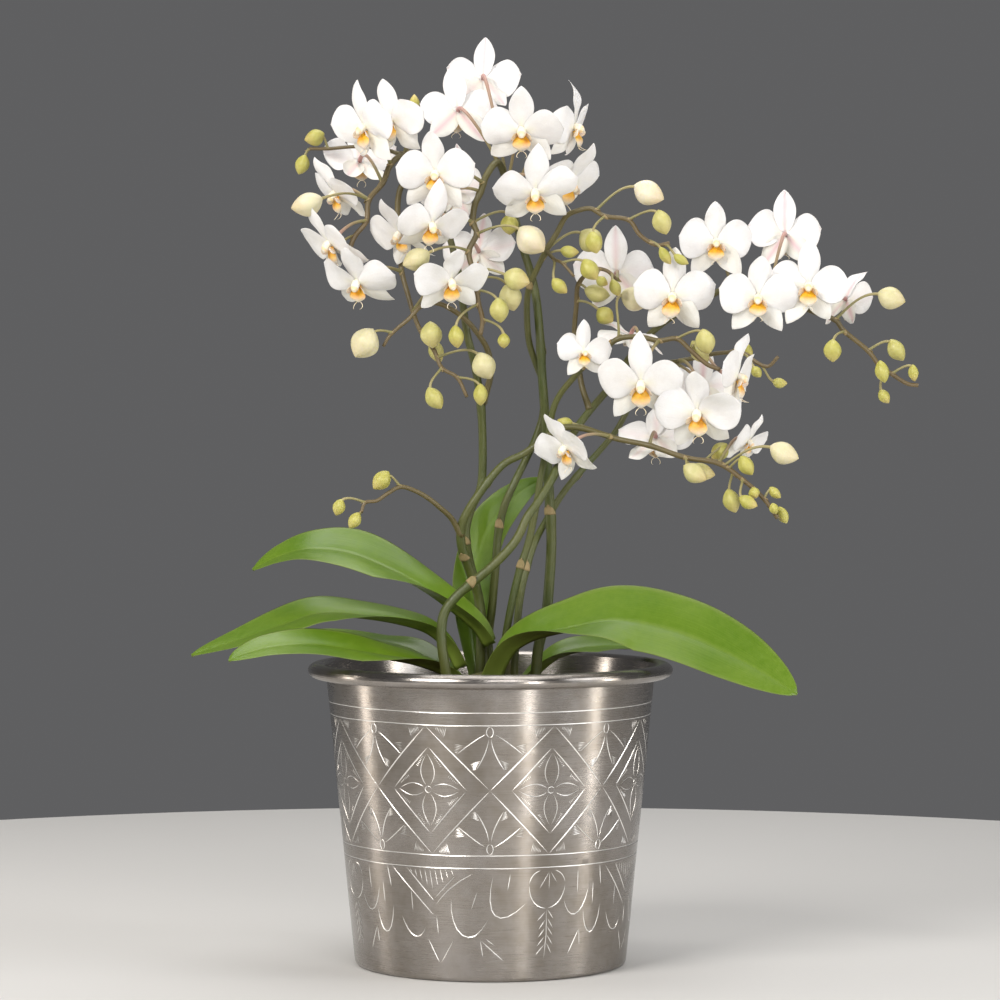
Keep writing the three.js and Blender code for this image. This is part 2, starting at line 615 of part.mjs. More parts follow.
const spike = ({ name, axes }) => {
  const flowers = [];
  let solid = null;
  const grow = (part) => {
    solid = solid ? solid.add(part) : part;
  };
  axes.forEach(({ points, radii, flowers: blooms = [], buds = [] }) => {
    const nodes = points.map(vector);
    const nodeAt = (at) => nodes[Math.floor(at)].clone().lerp(nodes[Math.ceil(at)], at % 1);
    const curve = new THREE.CatmullRomCurve3(nodes, false, 'catmullrom', 0.5);
    grow(stalk(curve, radii[0], radii[1], 6, nodes.length - 1));
    blooms.forEach((bloom) => {
      const direction = heading(bloom.face);
      const end = vector(bloom.to).addScaledVector(direction, -clearance);
      grow(stalk(stalkLine(nodeAt(bloom.at), end, direction), pedicelRadius, pedicelRadius, 4, 3));
      flowers.push(bloom);
    });
    buds.forEach((bud) => {
      const direction = heading(bud.face);
      const base = vector(bud.to);
      const end = base.clone().addScaledVector(direction, bud.length * 0.3);
      grow(stalk(stalkLine(nodeAt(bud.at), end, direction), budStalkRadius, budStalkRadius, 3, 3));
      grow(budSolid(base, direction, bud.length, bud.width));
    });
  });
  const group = new THREE.Group();
  group.add(piece(`spike_${name}`, geometryOf(solid), finish(0x5c6a2a, 0.5)));
  flowers.forEach((bloom, i) => group.add(flower(`${name}_flower_${i + 1}`, bloom)));
  return group;
};

const plant = new THREE.Group();
plant.position.z = potHeight;
plant.add(crown('crown_front', [-7, -4], [6.5, 5], -5));
plant.add(crown('crown_back', [8, 31], [7, 5], -2));
Object.entries(leaves).forEach(([name, blade]) => plant.add(leaf(name, blade)));
spikes.forEach((one) => plant.add(spike(one)));

const orchid = new THREE.Group();
orchid.add(metalPot(), growPot(), barkMedium(), plant);

export default orchid;
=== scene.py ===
import math
import random

import bmesh
import bpy
from mathutils import Matrix, Quaternion, Vector, geometry, noise


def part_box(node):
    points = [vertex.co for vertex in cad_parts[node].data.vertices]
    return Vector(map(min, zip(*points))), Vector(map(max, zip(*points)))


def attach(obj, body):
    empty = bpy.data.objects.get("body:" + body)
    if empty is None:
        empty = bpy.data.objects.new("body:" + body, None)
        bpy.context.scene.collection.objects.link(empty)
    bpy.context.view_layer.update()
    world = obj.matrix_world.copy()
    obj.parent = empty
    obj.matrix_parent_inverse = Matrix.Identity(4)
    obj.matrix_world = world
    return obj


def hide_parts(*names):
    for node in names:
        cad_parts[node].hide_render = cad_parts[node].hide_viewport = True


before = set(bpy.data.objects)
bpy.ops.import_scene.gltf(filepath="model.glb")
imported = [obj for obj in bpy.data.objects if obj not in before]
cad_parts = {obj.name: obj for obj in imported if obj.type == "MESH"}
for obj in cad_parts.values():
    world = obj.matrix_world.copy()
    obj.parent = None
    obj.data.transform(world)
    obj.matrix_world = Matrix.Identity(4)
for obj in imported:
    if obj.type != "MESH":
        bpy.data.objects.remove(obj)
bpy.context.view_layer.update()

# Cover pot. One sheet of metal, spun over a former into a tapered bucket, with its edge rolled
# over into a bead. The pattern is cut by hand with a burin: every stroke is a V that starts and
# ends in a point, and no two repeats are quite alike.
mm = 0.001
_, pot_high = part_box("metal_pot")
pot_height = pot_high.z / mm
rim_radius = pot_high.x / mm
base_radius = 70.5
base_corner = 3.0
wall = 1.5
floor_thickness = 2.0
roll_width = 9.6
roll_height = 7.6
rim_underside = pot_height - roll_height
body_top_radius = rim_radius - roll_width
chased_from = 6.0
chased_to = 147.0
turns = 192


def wall_radius(height):
    return base_radius + (body_top_radius - base_radius) * height / rim_underside


def around(angle, radius, height):
    return Vector((radius * math.sin(angle), -radius * math.cos(angle), height)) * mm


def spun(shape, profile, start, steps):
    """Turns a profile of (radius, height) points once round, from a starting angle."""
    ring = [shape.verts.new(around(start, r, h)) for r, h in profile]
    edges = [shape.edges.new(pair) for pair in zip(ring, ring[1:])]
    bmesh.ops.spin(shape, geom=ring + edges, cent=(0, 0, 0), axis=(0, 0, 1), angle=math.tau,
                   steps=steps, use_merge=True, use_duplicate=False)


# The chased bands, laid out flat: u runs round the pot in millimetres and v is the height.
flat_radius = 78.0
half_turn = math.pi * flat_radius
repeats = 8
pitch = 2 * half_turn / repeats
band_top, band_middle, band_foot = 131.0, 98.0, 65.0
strokes = []


def stroke(points, width=0.62):
    """One cut of the burin through the given points, evened out into short steps."""
    route = [Vector(p) for p in points]
    line = []
    for a, b in zip(route, route[1:]):
        steps = max(1, round((b - a).length / 2.2))
        line += [a.lerp(b, i / steps) for i in range(steps)]
    line.append(route[-1])
    strokes.append((line, width))


def sweep_cut(points, width=0.55, steps=9):
    """A curved cut, bent like a spring through three or four points."""
    a, b, c, d = (list(points) + [points[-1]])[:4] if len(points) == 3 else points
    route = geometry.interpolate_bezier(Vector(a), Vector(b), Vector(c), Vector(d), steps)
    stroke(route, width)


def hatch(corner, first, second, count, width=0.42):
    """Short side-by-side cuts that fill a triangle, longest at the side away from its corner."""
    corner, first, second = Vector(corner), Vector(first), Vector(second)
    for i in range(count):
        share = 0.25 + 0.75 * (i + 1) / count
        stroke([corner.lerp(first, share), corner.lerp(second, share)], width)


def hand(index, salt):
    """A small, repeatable slip of the hand for one repeat of the pattern."""
    slip = random.Random(97 * (index % repeats) + salt)
    return lambda: Vector((slip.gauss(0, 0.35), slip.gauss(0, 0.35)))


for height, drift in ((137.5, 0.45), (band_top, 0.25), (band_foot, 0.25), (58.6, 0.35)):
    ring = [i * 6.0 for i in range(-42, 43)]
    stroke([(u, height + drift * noise.noise((math.cos(u / flat_radius) * 2,
                                              math.sin(u / flat_radius) * 2, height)))
            for u in ring], 0.6)

for k in range(-5, 5):
    middle = (k + 0.5) * pitch
    slip = hand(k, 1)
    left = Vector((k * pitch, band_middle))
    right = Vector(((k + 1) * pitch, band_middle))
    top = Vector((middle, band_top - 0.5)) + Vector((slip().x, 0))
    foot = Vector((middle, band_foot + 0.5)) + Vector((slip().x, 0))
    for start, end in ((left, top), (top, right), (right, foot), (foot, left)):
        stroke([start, end], 0.75)
    inner = [Vector((middle + dx, band_middle + dy)) + slip()
             for dx, dy in ((-19.5, 0), (0, 22), (19.5, 0), (0, -22))]
    for i in range(4):
        stroke([inner[i], inner[(i + 1) % 4]], 0.75)
    centre = Vector((middle, band_middle)) + slip()
    stroke([centre + Vector((1.7 * math.cos(a), 1.7 * math.sin(a)))
            for a in (i * math.tau / 8 for i in range(9))], 0.4)
    for i, (ax, ay) in enumerate(((-1, 0), (0, 1), (1, 0), (0, -1))):
        ahead, aside = Vector((ax, ay)), Vector((-ay, ax))
        reach = 16.5 if ax else 18.5
        half = 3.6 if ax else 4.2
        tip = centre + ahead * reach + slip() * 0.6
        for side in (-1, 1):
            near = centre + ahead * 1.8 + aside * side * 0.8
            sweep_cut([near, near + ahead * reach * 0.3 + aside * side * half,
                       tip - ahead * reach * 0.35 + aside * side * half, tip], 0.5)
            corner = inner[i] - ahead * 1.0
            along = (inner[(i + side) % 4] - inner[i]).normalized()
            bottom = corner + along * 10.5 - ahead * 0.4
            hatch(corner + along * 2, bottom, bottom - along * 2.6 - ahead * 2.8, 7)
    for side in (-1, 1):
        for way, level in ((1, band_top), (-1, band_foot)):
            corner = Vector((middle + side * 2.2, level - way * 0.9)) + slip() * 0.5
            hatch(corner, corner + Vector((side * 7.5, 0)), corner + Vector((side * 6.0, -way * 5.6)), 7)

for k in range(-4, 5):
    slip = hand(k, 2)
    u = k * pitch
    for way, level in ((1, band_top), (-1, band_foot)):
        for side in (-1, 1):
            def at(du, dv):
                return Vector((u + side * du, level - way * dv))
            sweep_cut([at(0, 0.6), at(2.3, 1.6), at(2.0, 5.4), at(0, 6.0)], 0.55)
            sweep_cut([at(0.5, 6.2), at(1.0, 13), at(4.4, 18.5), at(7.6, 22.6) + slip()], 0.6)
            sweep_cut([at(1.8, 4.2), at(7.5, 7.2), at(12.0, 11.5), at(16.8, 15.2) + slip()], 0.55)
            hatch(at(7.8, 24.0), at(4.6, 17.5) + slip() * 0.5, at(9.6, 19.6), 8)
            hatch(at(17.2, 15.8), at(12.2, 10.2) + slip() * 0.5, at(17.6, 9.4), 6)

for k in range(-5, 5):
    c = (k + 0.5) * pitch
    slip = hand(k, 3)
    if k % 2:
        stroke([(c - 24, 57.6), (c - 12, 46), (c, 34)], 0.7)
        sweep_cut([(c + 22, 56), (c + 10, 50), (c + 4, 43), (c + 1, 39)], 0.6)
        stroke([(c - 15, 58), (c, 42), (c + 0.5, 41.5)], 0.7)
        stroke([(c + 13, 55), (c + 7, 49), (c, 42)], 0.5)
        for i in range(9):
            x = c - 13 + i * 2.9
            stroke([(x, 58), (x + 1.4, 58 - 11 + abs(i - 4) * 1.9)], 0.42)
        sweep_cut([(c - 20, 33), (c - 16, 22), (c - 9, 19), (c - 5, 28)], 0.65)
        sweep_cut([(c + 10, 43), (c + 8, 26), (c + 20, 14), (c + 30, 33)], 0.65)
        stroke([(c - 4, 22), (c + 2.5, 9.5)], 0.65)
        stroke([(c + 3, 9.5), (c + 11, 22)], 0.5)
        stroke([(c + 1.5, 34), (c + 2.2, 24)], 0.5)
        stroke([(c - 13, 47), (c - 12.5, 35)], 0.45)
        stroke([(c + 24, 47), (c + 20.5, 37)], 0.5)
        stroke([(c - 28, 58), (c - 26, 47)], 0.7)
    else:
        sweep_cut([(c - 10, 50), (c - 10, 40), (c - 4, 38), (c, 37.5)], 0.65)
        sweep_cut([(c + 10.5, 50), (c + 10, 41), (c + 4, 38), (c, 37.5)], 0.65)
        sweep_cut([(c - 10, 50), (c - 9.5, 55), (c - 6, 56.5), (c - 4, 57)], 0.6)
        sweep_cut([(c + 10.5, 50), (c + 9.5, 55), (c + 6, 56.5), (c + 4, 57)], 0.6)
        stroke([(c + 1, 56.5), (c - 4.5, 47.5)], 0.5)
        stroke([(c + 1.5, 56.5), (c + 5.5, 50.5)], 0.45)
        stroke([(c + 1, 56.5), (c + 1, 47)], 0.4)
        stroke([(c, 38), (c + 0.4, 24), (c - 0.6, 11)], 0.5)
        for i in range(5):
            h = 37 - i * 4.2
            stroke([(c + 0.6, h), Vector((c + 4.4, h - 5.6)) + slip()], 0.6)
            stroke([(c - 0.4, h - 1), Vector((c - 5.0, h - 6.4)) + slip()], 0.6)
        sweep_cut([(c - 29, 55), (c - 34, 34), (c - 27, 26), (c - 11, 41)], 0.65)
        sweep_cut([(c + 10, 42), (c + 13, 30), (c + 22, 30), (c + 26, 47)], 0.65)
        sweep_cut([(c + 23, 36), (c + 24, 22), (c + 33, 16), (c + 36, 38)], 0.65)
        stroke([(c + 21, 26), (c + 14, 13)], 0.65)
        stroke([(c + 21, 26), (c + 22, 17)], 0.5)
        stroke([(c - 36, 22), (c - 34.5, 13)], 0.6)
        stroke([(c - 36, 22), (c - 23, 11)], 0.65)
        stroke([(c - 33.5, 23), (c - 28, 19)], 0.5)
        stroke([(c + 18, 57), (c + 18.5, 44)], 0.5)
        stroke([(c + 29, 50), (c + 29.5, 38)], 0.5)
        stroke([(c - 20, 56), (c - 21.5, 47)], 0.55)

# Every cut is outlined, with a line along its bottom, and the sheet between is filled in.
flat_points = []
flat_edges = []
cuts_near = {}
cell = 3.0
for line, width in strokes:
    count = len(line) - 1
    rows = []
    for i, p in enumerate(line):
        along = (line[min(i + 1, count)] - line[max(i - 1, 0)]).normalized()
        spread = 0.5 * width * min(1.0, 0.25 + 2.6 * min(i, count - i) / count) if 0 < i < count else 0.02
        if count == 1:
            spread = 0.02
        rows.append((p, Vector((-along.y, along.x)), spread))
    if count == 1:
        p, q = line
        middle = p.lerp(q, 0.45)
        rows.insert(1, (middle, rows[0][1], 0.5 * width))
    for (p, _, sp), (q, _, sq) in zip(rows, rows[1:]):
        for gx in range(int((min(p.x, q.x) - 1) // cell), int((max(p.x, q.x) + 1) // cell) + 1):
            for gy in range(int((min(p.y, q.y) - 1) // cell), int((max(p.y, q.y) + 1) // cell) + 1):
                cuts_near.setdefault((gx, gy), []).append((p, q, sp, sq))
    for sign in (-1, 0, 1):
        start = len(flat_points)
        flat_points += [p + aside * spread * sign for p, aside, spread in rows]
        flat_edges += [(start + i, start + i + 1) for i in range(len(rows) - 1)]

border_rows = 40
first = len(flat_points)
chased_height = chased_to - chased_from
flat_points += [Vector((-half_turn + 2 * half_turn * i / turns,
                        chased_from + chased_height * j / border_rows))
                for j in range(border_rows + 1) for i in range(turns + 1)]


def grid(i, j):
    return first + j * (turns + 1) + i


flat_edges += [(grid(i, j), grid(i + 1, j)) for j in (0, border_rows) for i in range(turns)]
flat_edges += [(grid(i, j), grid(i, j + 1)) for i in (0, turns) for j in range(border_rows)]
points, _, triangles, *_ = geometry.delaunay_2d_cdt(flat_points, flat_edges, [], 0, 1e-4)


def cut_depth(p):
    """How far below the sheet a point lies, from the deepest cut that reaches it."""
    deepest = 0.0
    for a, b, sa, sb in cuts_near.get((int(p.x // cell), int(p.y // cell)), ()):
        run = b - a
        share = min(1.0, max(0.0, (p - a).dot(run) / max(run.length_squared, 1e-9)))
        spread = sa + (sb - sa) * share
        off = (p - a - run * share).length
        if off < spread:
            deepest = max(deepest, (spread - off) * 0.62)
    return deepest


sheet = bmesh.new()
groove = sheet.verts.layers.float.new("groove")
corners = []
for p in points:
    depth = cut_depth(p)
    angle = p.x / flat_radius
    radius = wall_radius(p.y)
    turning = Vector((math.sin(angle), math.cos(angle), p.y * 0.012))
    radius += 0.16 * noise.noise(turning * 2.2) * min(1.0, (p.y - chased_from) / 20, (chased_to - p.y) / 20)
    corner = sheet.verts.new(around(angle, radius - depth, p.y))
    corner[groove] = min(1.0, depth / 0.18)
    corners.append(corner)
for face in triangles:
    flat = [points[i] for i in face]
    middle = sum(flat, Vector((0, 0))) / 3
    if abs(middle.x) < half_turn and chased_from < middle.y < chased_to:
        sheet.faces.new([corners[i] for i in face])
bmesh.ops.delete(sheet, geom=[v for v in sheet.verts if not v.link_faces], context="VERTS")

# The rest of the pot is spun: the roll, the inside and the floor, and the corner of the base.
roll_centre = rim_radius - roll_width / 2
roll_middle = pot_height - roll_height / 2
upper = [(wall_radius(chased_to), chased_to), (body_top_radius, rim_underside - 0.4)]
for i in range(19):
    a = math.radians(-128 + i * 15.2)
    upper.append((roll_centre + roll_width / 2 * math.cos(a), roll_middle + roll_height / 2 * math.sin(a)))
upper += [(wall_radius(rim_underside) - wall, rim_underside - 1.5)]
upper += [(wall_radius(h) - wall, h) for h in (120.0, 90.0, 60.0, 30.0, 5.0)]
upper += [(wall_radius(2.6) - wall - 1.0, 2.6), (wall_radius(2) - wall - 3.0, floor_thickness)]
upper += [(35.0, floor_thickness), (0.0, floor_thickness)]
lower = [(wall_radius(chased_from), chased_from)]
for i in range(6):
    a = math.radians(-i * 18)
    lower.append((base_radius - base_corner + 0.25 + base_corner * math.cos(a),
                  base_corner + base_corner * math.sin(a)))
lower += [(35.0, 0.0), (0.0, 0.0)]
for profile in (upper, lower):
    spun(sheet, profile, -math.pi, turns)
bmesh.ops.remove_doubles(sheet, verts=sheet.verts, dist=0.00002)
bmesh.ops.recalc_face_normals(sheet, faces=sheet.faces)
for edge in sheet.edges:
    if len(edge.link_faces) == 2 and edge.calc_face_angle() > math.radians(16):
        edge.smooth = False
for face in sheet.faces:
    face.smooth = True


def shape_to_piece(name, shape, *materials):
    """Closes up a finished shape as a piece of the plant."""
    mesh = bpy.data.meshes.new(name)
    shape.to_mesh(mesh)
    shape.free()
    for material in materials:
        mesh.materials.append(material)
    piece = bpy.data.objects.new(name, mesh)
    bpy.context.scene.collection.objects.link(piece)
    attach(piece, "root")
    return piece


def add_node(tree, kind, **settings):
    """A shader node with its inputs or settings given by name."""
    added = tree.nodes.new("ShaderNode" + kind)
    for key, value in settings.items():
        if key in added.inputs:
            added.inputs[key].default_value = value
        else:
            setattr(added, key, value)
    return added


def surface(name):
    """A new material, with its node tree and its surface shader."""
    material = bpy.data.materials.new(name)
    material.use_nodes = True
    return material, material.node_tree, material.node_tree.nodes["Principled BSDF"]


def measured(tree, name):
    """The value that a piece's points carry under this name."""
    return add_node(tree, "Attribute", attribute_name=name).outputs["Fac"]


def blend_colours(tree, share, first, second):
    """Mixes two colours, each a plain colour or another node's output."""
    mix = add_node(tree, "Mix", data_type="RGBA")
    tree.links.new(share, mix.inputs["Factor"])
    for socket, colour in ((mix.inputs[6], first), (mix.inputs[7], second)):
        if isinstance(colour, tuple):
            socket.default_value = (*colour, 1)
        else:
            tree.links.new(colour, socket)
    return mix.outputs[2]


def ranged(tree, value, low, high, to_low, to_high):
    """Maps a value from one range to another and stops it at the ends."""
    mapped = add_node(tree, "MapRange")
    tree.links.new(value, mapped.inputs["Value"])
    limits = {"From Min": low, "From Max": high, "To Min": to_low, "To Max": to_high}
    for key, number in limits.items():
        mapped.inputs[key].default_value = number
    return mapped.outputs["Result"]


def sums(tree, how, first, second):
    """One step of arithmetic between values."""
    step = add_node(tree, "Math", operation=how)
    for socket, value in ((step.inputs[0], first), (step.inputs[1], second)):
        if isinstance(value, (int, float)):
            socket.default_value = value
        else:
            tree.links.new(value, socket)
    return step.outputs[0]


# Mottling, shared by every material of the plant and the pot: soft patches with a finer grain in
# them. Stretch draws the pattern out sideways or upwards.
mottle = bpy.data.node_groups.new("mottle", "ShaderNodeTree")
for label, kind, start in (("Base", "Color", (0.5, 0.5, 0.5, 1)), ("Patch", "Color", (0.5, 0.5, 0.5, 1)),
                           ("Size", "Float", 40.0), ("Grain", "Float", 400.0), ("Amount", "Float", 1.0),
                           ("Stretch", "Vector", (1, 1, 1))):
    socket = mottle.interface.new_socket(label, in_out="INPUT", socket_type="NodeSocket" + kind)
    socket.default_value = start
mottle.interface.new_socket("Color", in_out="OUTPUT", socket_type="NodeSocketColor")
mottle.interface.new_socket("Patches", in_out="OUTPUT", socket_type="NodeSocketFloat")
mottle.interface.new_socket("Fine", in_out="OUTPUT", socket_type="NodeSocketFloat")
given = mottle.nodes.new("NodeGroupInput")
taken = mottle.nodes.new("NodeGroupOutput")
place = add_node(mottle, "TexCoord")
stretched = add_node(mottle, "VectorMath", operation="MULTIPLY")
mottle.links.new(place.outputs["Object"], stretched.inputs[0])
mottle.links.new(given.outputs["Stretch"], stretched.inputs[1])
wide = add_node(mottle, "TexNoise", Detail=3.0, Roughness=0.55)
fine = add_node(mottle, "TexNoise", Detail=2.0, Roughness=0.6)
for texture, size in ((wide, "Size"), (fine, "Grain")):
    mottle.links.new(stretched.outputs[0], texture.inputs["Vector"])
    mottle.links.new(given.outputs[size], texture.inputs["Scale"])
both = sums(mottle, "ADD", sums(mottle, "MULTIPLY", wide.outputs["Fac"], 0.7),
            sums(mottle, "MULTIPLY", fine.outputs["Fac"], 0.3))
share = sums(mottle, "MULTIPLY", ranged(mottle, both, 0.36, 0.64, 0.0, 1.0), given.outputs["Amount"])
mixed = blend_colours(mottle, share, given.outputs["Base"], given.outputs["Patch"])
mottle.links.new(mixed, taken.inputs["Color"])
mottle.links.new(ranged(mottle, wide.outputs["Fac"], 0.35, 0.65, 0.0, 1.0), taken.inputs["Patches"])
mottle.links.new(fine.outputs["Fac"], taken.inputs["Fine"])


def mottled(tree, base, patch, size, grain, amount=1.0, stretch=(1, 1, 1)):
    """Puts the shared mottling into a material, with its own colours and sizes."""
    group = tree.nodes.new("ShaderNodeGroup")
    group.node_tree = mottle
    for label, value in (("Size", size), ("Grain", grain), ("Amount", amount), ("Stretch", stretch)):
        group.inputs[label].default_value = value
    for label, colour in (("Base", base), ("Patch", patch)):
        if isinstance(colour, tuple):
            group.inputs[label].default_value = (*colour, 1)
        else:
            tree.links.new(colour, group.inputs[label])
    return group


def grained(tree, group, low, high):
    """A value that varies between two limits with a mottling's fine grain."""
    return ranged(tree, group.outputs["Fine"], 0.3, 0.7, low, high)


def let_light_in(shader, weight, radius, scale):
    """Lets light into soft plant tissue, by different depths for each colour."""
    shader.inputs["Subsurface Weight"].default_value = weight
    shader.inputs["Subsurface Radius"].default_value = radius
    shader.inputs["Subsurface Scale"].default_value = scale


def raised(tree, shader, height, distance, strength=1.0):
    """Gives the surface a relief of this many metres."""
    bump = add_node(tree, "Bump", Distance=distance, Strength=strength)
    tree.links.new(height, bump.inputs["Height"])
    tree.links.new(bump.outputs["Normal"], shader.inputs["Normal"])


pot_metal, tree, shader = surface("chased_aluminium")
cuts = measured(tree, "groove")
smudges = mottled(tree, (0.36, 0.335, 0.315), (0.25, 0.22, 0.185), 17.0, 150.0)
brushing = mottled(tree, (0.4, 0.4, 0.4), (0.6, 0.6, 0.6), 14.0, 60.0, 1.0, (1, 1, 60))
colour = blend_colours(tree, grained(tree, brushing, 0.0, 0.22),
                       smudges.outputs["Color"], (0.46, 0.44, 0.42))
# The cuts are blended almost to white. This is partly the bare metal of a fresh cut and partly a painted
# highlight of the light that the cut faces catch.
tree.links.new(blend_colours(tree, ranged(tree, cuts, 0.03, 0.4, 0.0, 0.95), colour, (0.93, 0.915, 0.89)),
               shader.inputs["Base Color"])
rough = sums(tree, "ADD", ranged(tree, smudges.outputs["Patches"], 0.0, 1.0, 0.22, 0.32),
             grained(tree, brushing, -0.03, 0.05))
tree.links.new(sums(tree, "ADD", rough, sums(tree, "MULTIPLY", cuts, 0.15)), shader.inputs["Roughness"])
tree.links.new(ranged(tree, cuts, 0.0, 1.0, 1.0, 0.8), shader.inputs["Metallic"])
turning = add_node(tree, "Tangent", direction_type="RADIAL", axis="Z")
tree.links.new(turning.outputs[0], shader.inputs["Tangent"])
shader.inputs["Anisotropic"].default_value = 0.8
shader.inputs["Anisotropic Rotation"].default_value = 0.25
raised(tree, shader, brushing.outputs["Fine"], 0.00002)
cover_pot = shape_to_piece("cover_pot", sheet, pot_metal)
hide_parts("metal_pot")

# Nursery pot. A clear, thin moulded pot that drops into the cover pot, with a turned-out lip for
# the fingers. It is what holds the bark.
inner_low, inner_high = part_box("grow_pot")
lip_radius, lip_top, inner_floor = inner_high.x / mm, inner_high.z / mm, inner_low.z / mm
lip_width, lip_depth, inner_base, inner_wall = 2.6, 4.0, 54.0, 0.9
mouth = lip_radius - lip_width
profile = [(0, inner_floor), (inner_base - 1.5, inner_floor), (inner_base, inner_floor + 1.5),
           (mouth, lip_top - lip_depth), (lip_radius, lip_top - lip_depth), (lip_radius, lip_top - 0.6),
           (lip_radius - 0.6, lip_top), (mouth - inner_wall + 0.6, lip_top),
           (mouth - inner_wall, lip_top - 0.6),
           (inner_base - inner_wall, inner_floor + 2.2), (inner_base - 3, inner_floor + inner_wall),
           (0, inner_floor + inner_wall)]
cup = bmesh.new()
spun(cup, profile, 0, 96)
bmesh.ops.remove_doubles(cup, verts=cup.verts, dist=0.00001)
bmesh.ops.recalc_face_normals(cup, faces=cup.faces)
for face in cup.faces:
    face.smooth = True
for edge in cup.edges:
    edge.smooth = edge.calc_face_angle(0) < math.radians(30)
clear_plastic, tree, shader = surface("clear_plastic")
shader.inputs["Transmission Weight"].default_value = 0.9
shader.inputs["IOR"].default_value = 1.46
haze = mottled(tree, (0.86, 0.88, 0.87), (0.74, 0.75, 0.70), 30.0, 260.0)
tree.links.new(haze.outputs["Color"], shader.inputs["Base Color"])
tree.links.new(grained(tree, haze, 0.08, 0.28), shader.inputs["Roughness"])
nursery_pot = shape_to_piece("nursery_pot", cup, clear_plastic)
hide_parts("grow_pot")

# Bark. Coarse chips of fir bark fill the nursery pot, loose and lying every way. Below the top
# two layers they're one rough mass.
bark_low, bark_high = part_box("bark_medium")
bark_top, bark_radius, bark_floor = bark_high.z / mm, bark_high.x / mm, bark_low.z / mm
profile = [(0, bark_floor), (inner_base - inner_wall - 3.6, bark_floor),
           (inner_base - inner_wall - 1.6, bark_floor + 3), (bark_radius - 2.4, bark_top - 9)]
profile += [(r, bark_top - 5.5) for r in range(76, 0, -6)] + [(0, bark_top - 5.5)]
heap = bmesh.new()
fresh = heap.verts.layers.float.new("fresh")
spun(heap, profile, 0, 64)
bmesh.ops.remove_doubles(heap, verts=heap.verts, dist=0.00001)
for v in heap.verts:
    v[fresh] = 0.2
    if v.co.z > (bark_top - 8) * mm:
        v.co.z += 0.0022 * noise.noise(v.co * 90)
chip_count = 330
golden_angle = 2.39996
chance = random.Random(11)
for i in range(chip_count):
    angle = i * golden_angle
    away = (bark_radius - 7.5) * math.sqrt((i + 0.5) / chip_count) + chance.uniform(-1.5, 1.5)
    size = Vector((chance.uniform(10, 19), chance.uniform(6, 11), chance.uniform(3, 6))) * mm
    lift = chance.uniform(-5.0, -1.6) if i % 3 else chance.uniform(-7.5, -4.5)
    turn = Matrix.Rotation(chance.uniform(0, math.tau), 4, "Z")
    tip = Matrix.Rotation(chance.gauss(0, 0.35), 4, "X") @ Matrix.Rotation(chance.gauss(0, 0.3), 4, "Y")
    put = Matrix.Translation(around(angle, away, bark_top + lift)) @ turn @ tip
    chip = bmesh.new()
    tone = chip.verts.layers.float.new("fresh")
    bmesh.ops.create_cube(chip, size=1.0, matrix=put @ Matrix.Diagonal((*size, 1)))
    bmesh.ops.subdivide_edges(chip, edges=chip.edges, cuts=1, use_grid_fill=True)
    age = chance.uniform(0.0, 1.0)
    for v in chip.verts:
        away_from_middle = v.co - put.translation
        v.co = put.translation + away_from_middle * (1 + 0.42 * noise.noise(v.co * 170 + Vector((i, 0, 0))))
        v[tone] = age
    bmesh.ops.bevel(chip, geom=[e for e in chip.edges if e.calc_face_angle(0) > 0.6], offset=0.0006,
                    segments=1, affect="EDGES")
    for v in chip.verts:
        v.co.z = min(v.co.z, (bark_top + 3.5) * mm)
        v[tone] = age
    loose = bpy.data.meshes.new("loose_chip")
    chip.to_mesh(loose)
    chip.free()
    heap.from_mesh(loose)
    bpy.data.meshes.remove(loose)
bmesh.ops.recalc_face_normals(heap, faces=heap.faces)
fir_bark, tree, shader = surface("fir_bark")
chips = mottled(tree, (0.085, 0.040, 0.020), (0.028, 0.015, 0.009), 130.0, 900.0)
tree.links.new(blend_colours(tree, ranged(tree, measured(tree, "fresh"), 0.55, 1.0, 0.0, 0.75),
                             chips.outputs["Color"], (0.17, 0.085, 0.042)), shader.inputs["Base Color"])
tree.links.new(grained(tree, chips, 0.75, 0.95), shader.inputs["Roughness"])
raised(tree, shader, chips.outputs["Fine"], 0.0012)
bark = shape_to_piece("bark", heap, fir_bark)
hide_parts("bark_medium")


# Leaves. Long, thick straps folded along a sunk midrib, glossy above and paler beneath. Each
# grows from the crown, arches over the rim and droops to a blunt tip. Routes are in millimetres
# from the middle of the pot's mouth.
origin = Vector((0, 0, pot_high.z / mm))


def spline(route, at):
    """The point this many steps along the smooth line through a route."""
    i = max(0, min(int(at), len(route) - 2))
    share = at - i
    b, c = Vector(route[i]), Vector(route[i + 1])
    a = Vector(route[i - 1]) if i else 2 * b - c
    d = Vector(route[i + 2]) if i + 2 < len(route) else 2 * c - b
    return 0.5 * (2 * b + (c - a) * share + (2 * a - 5 * b + 4 * c - d) * share ** 2
                  + (3 * b - 3 * c + d - a) * share ** 3)


def evened(line, steps):
    """The same line in steps of one length."""
    run = [0.0]
    for a, b in zip(line, line[1:]):
        run.append(run[-1] + (b - a).length)
    result = []
    j = 0
    for i in range(steps + 1):
        goal = run[-1] * i / steps
        while j < len(line) - 2 and run[j + 1] < goal:
            j += 1
        result.append(line[j].lerp(line[j + 1], (goal - run[j]) / max(run[j + 1] - run[j], 1e-9)))
    return result


def headings(line):
    """Which way a line runs at each of its points."""
    last = len(line) - 1
    return [(line[min(i + 1, last)] - line[max(i - 1, 0)]).normalized() for i in range(last + 1)]


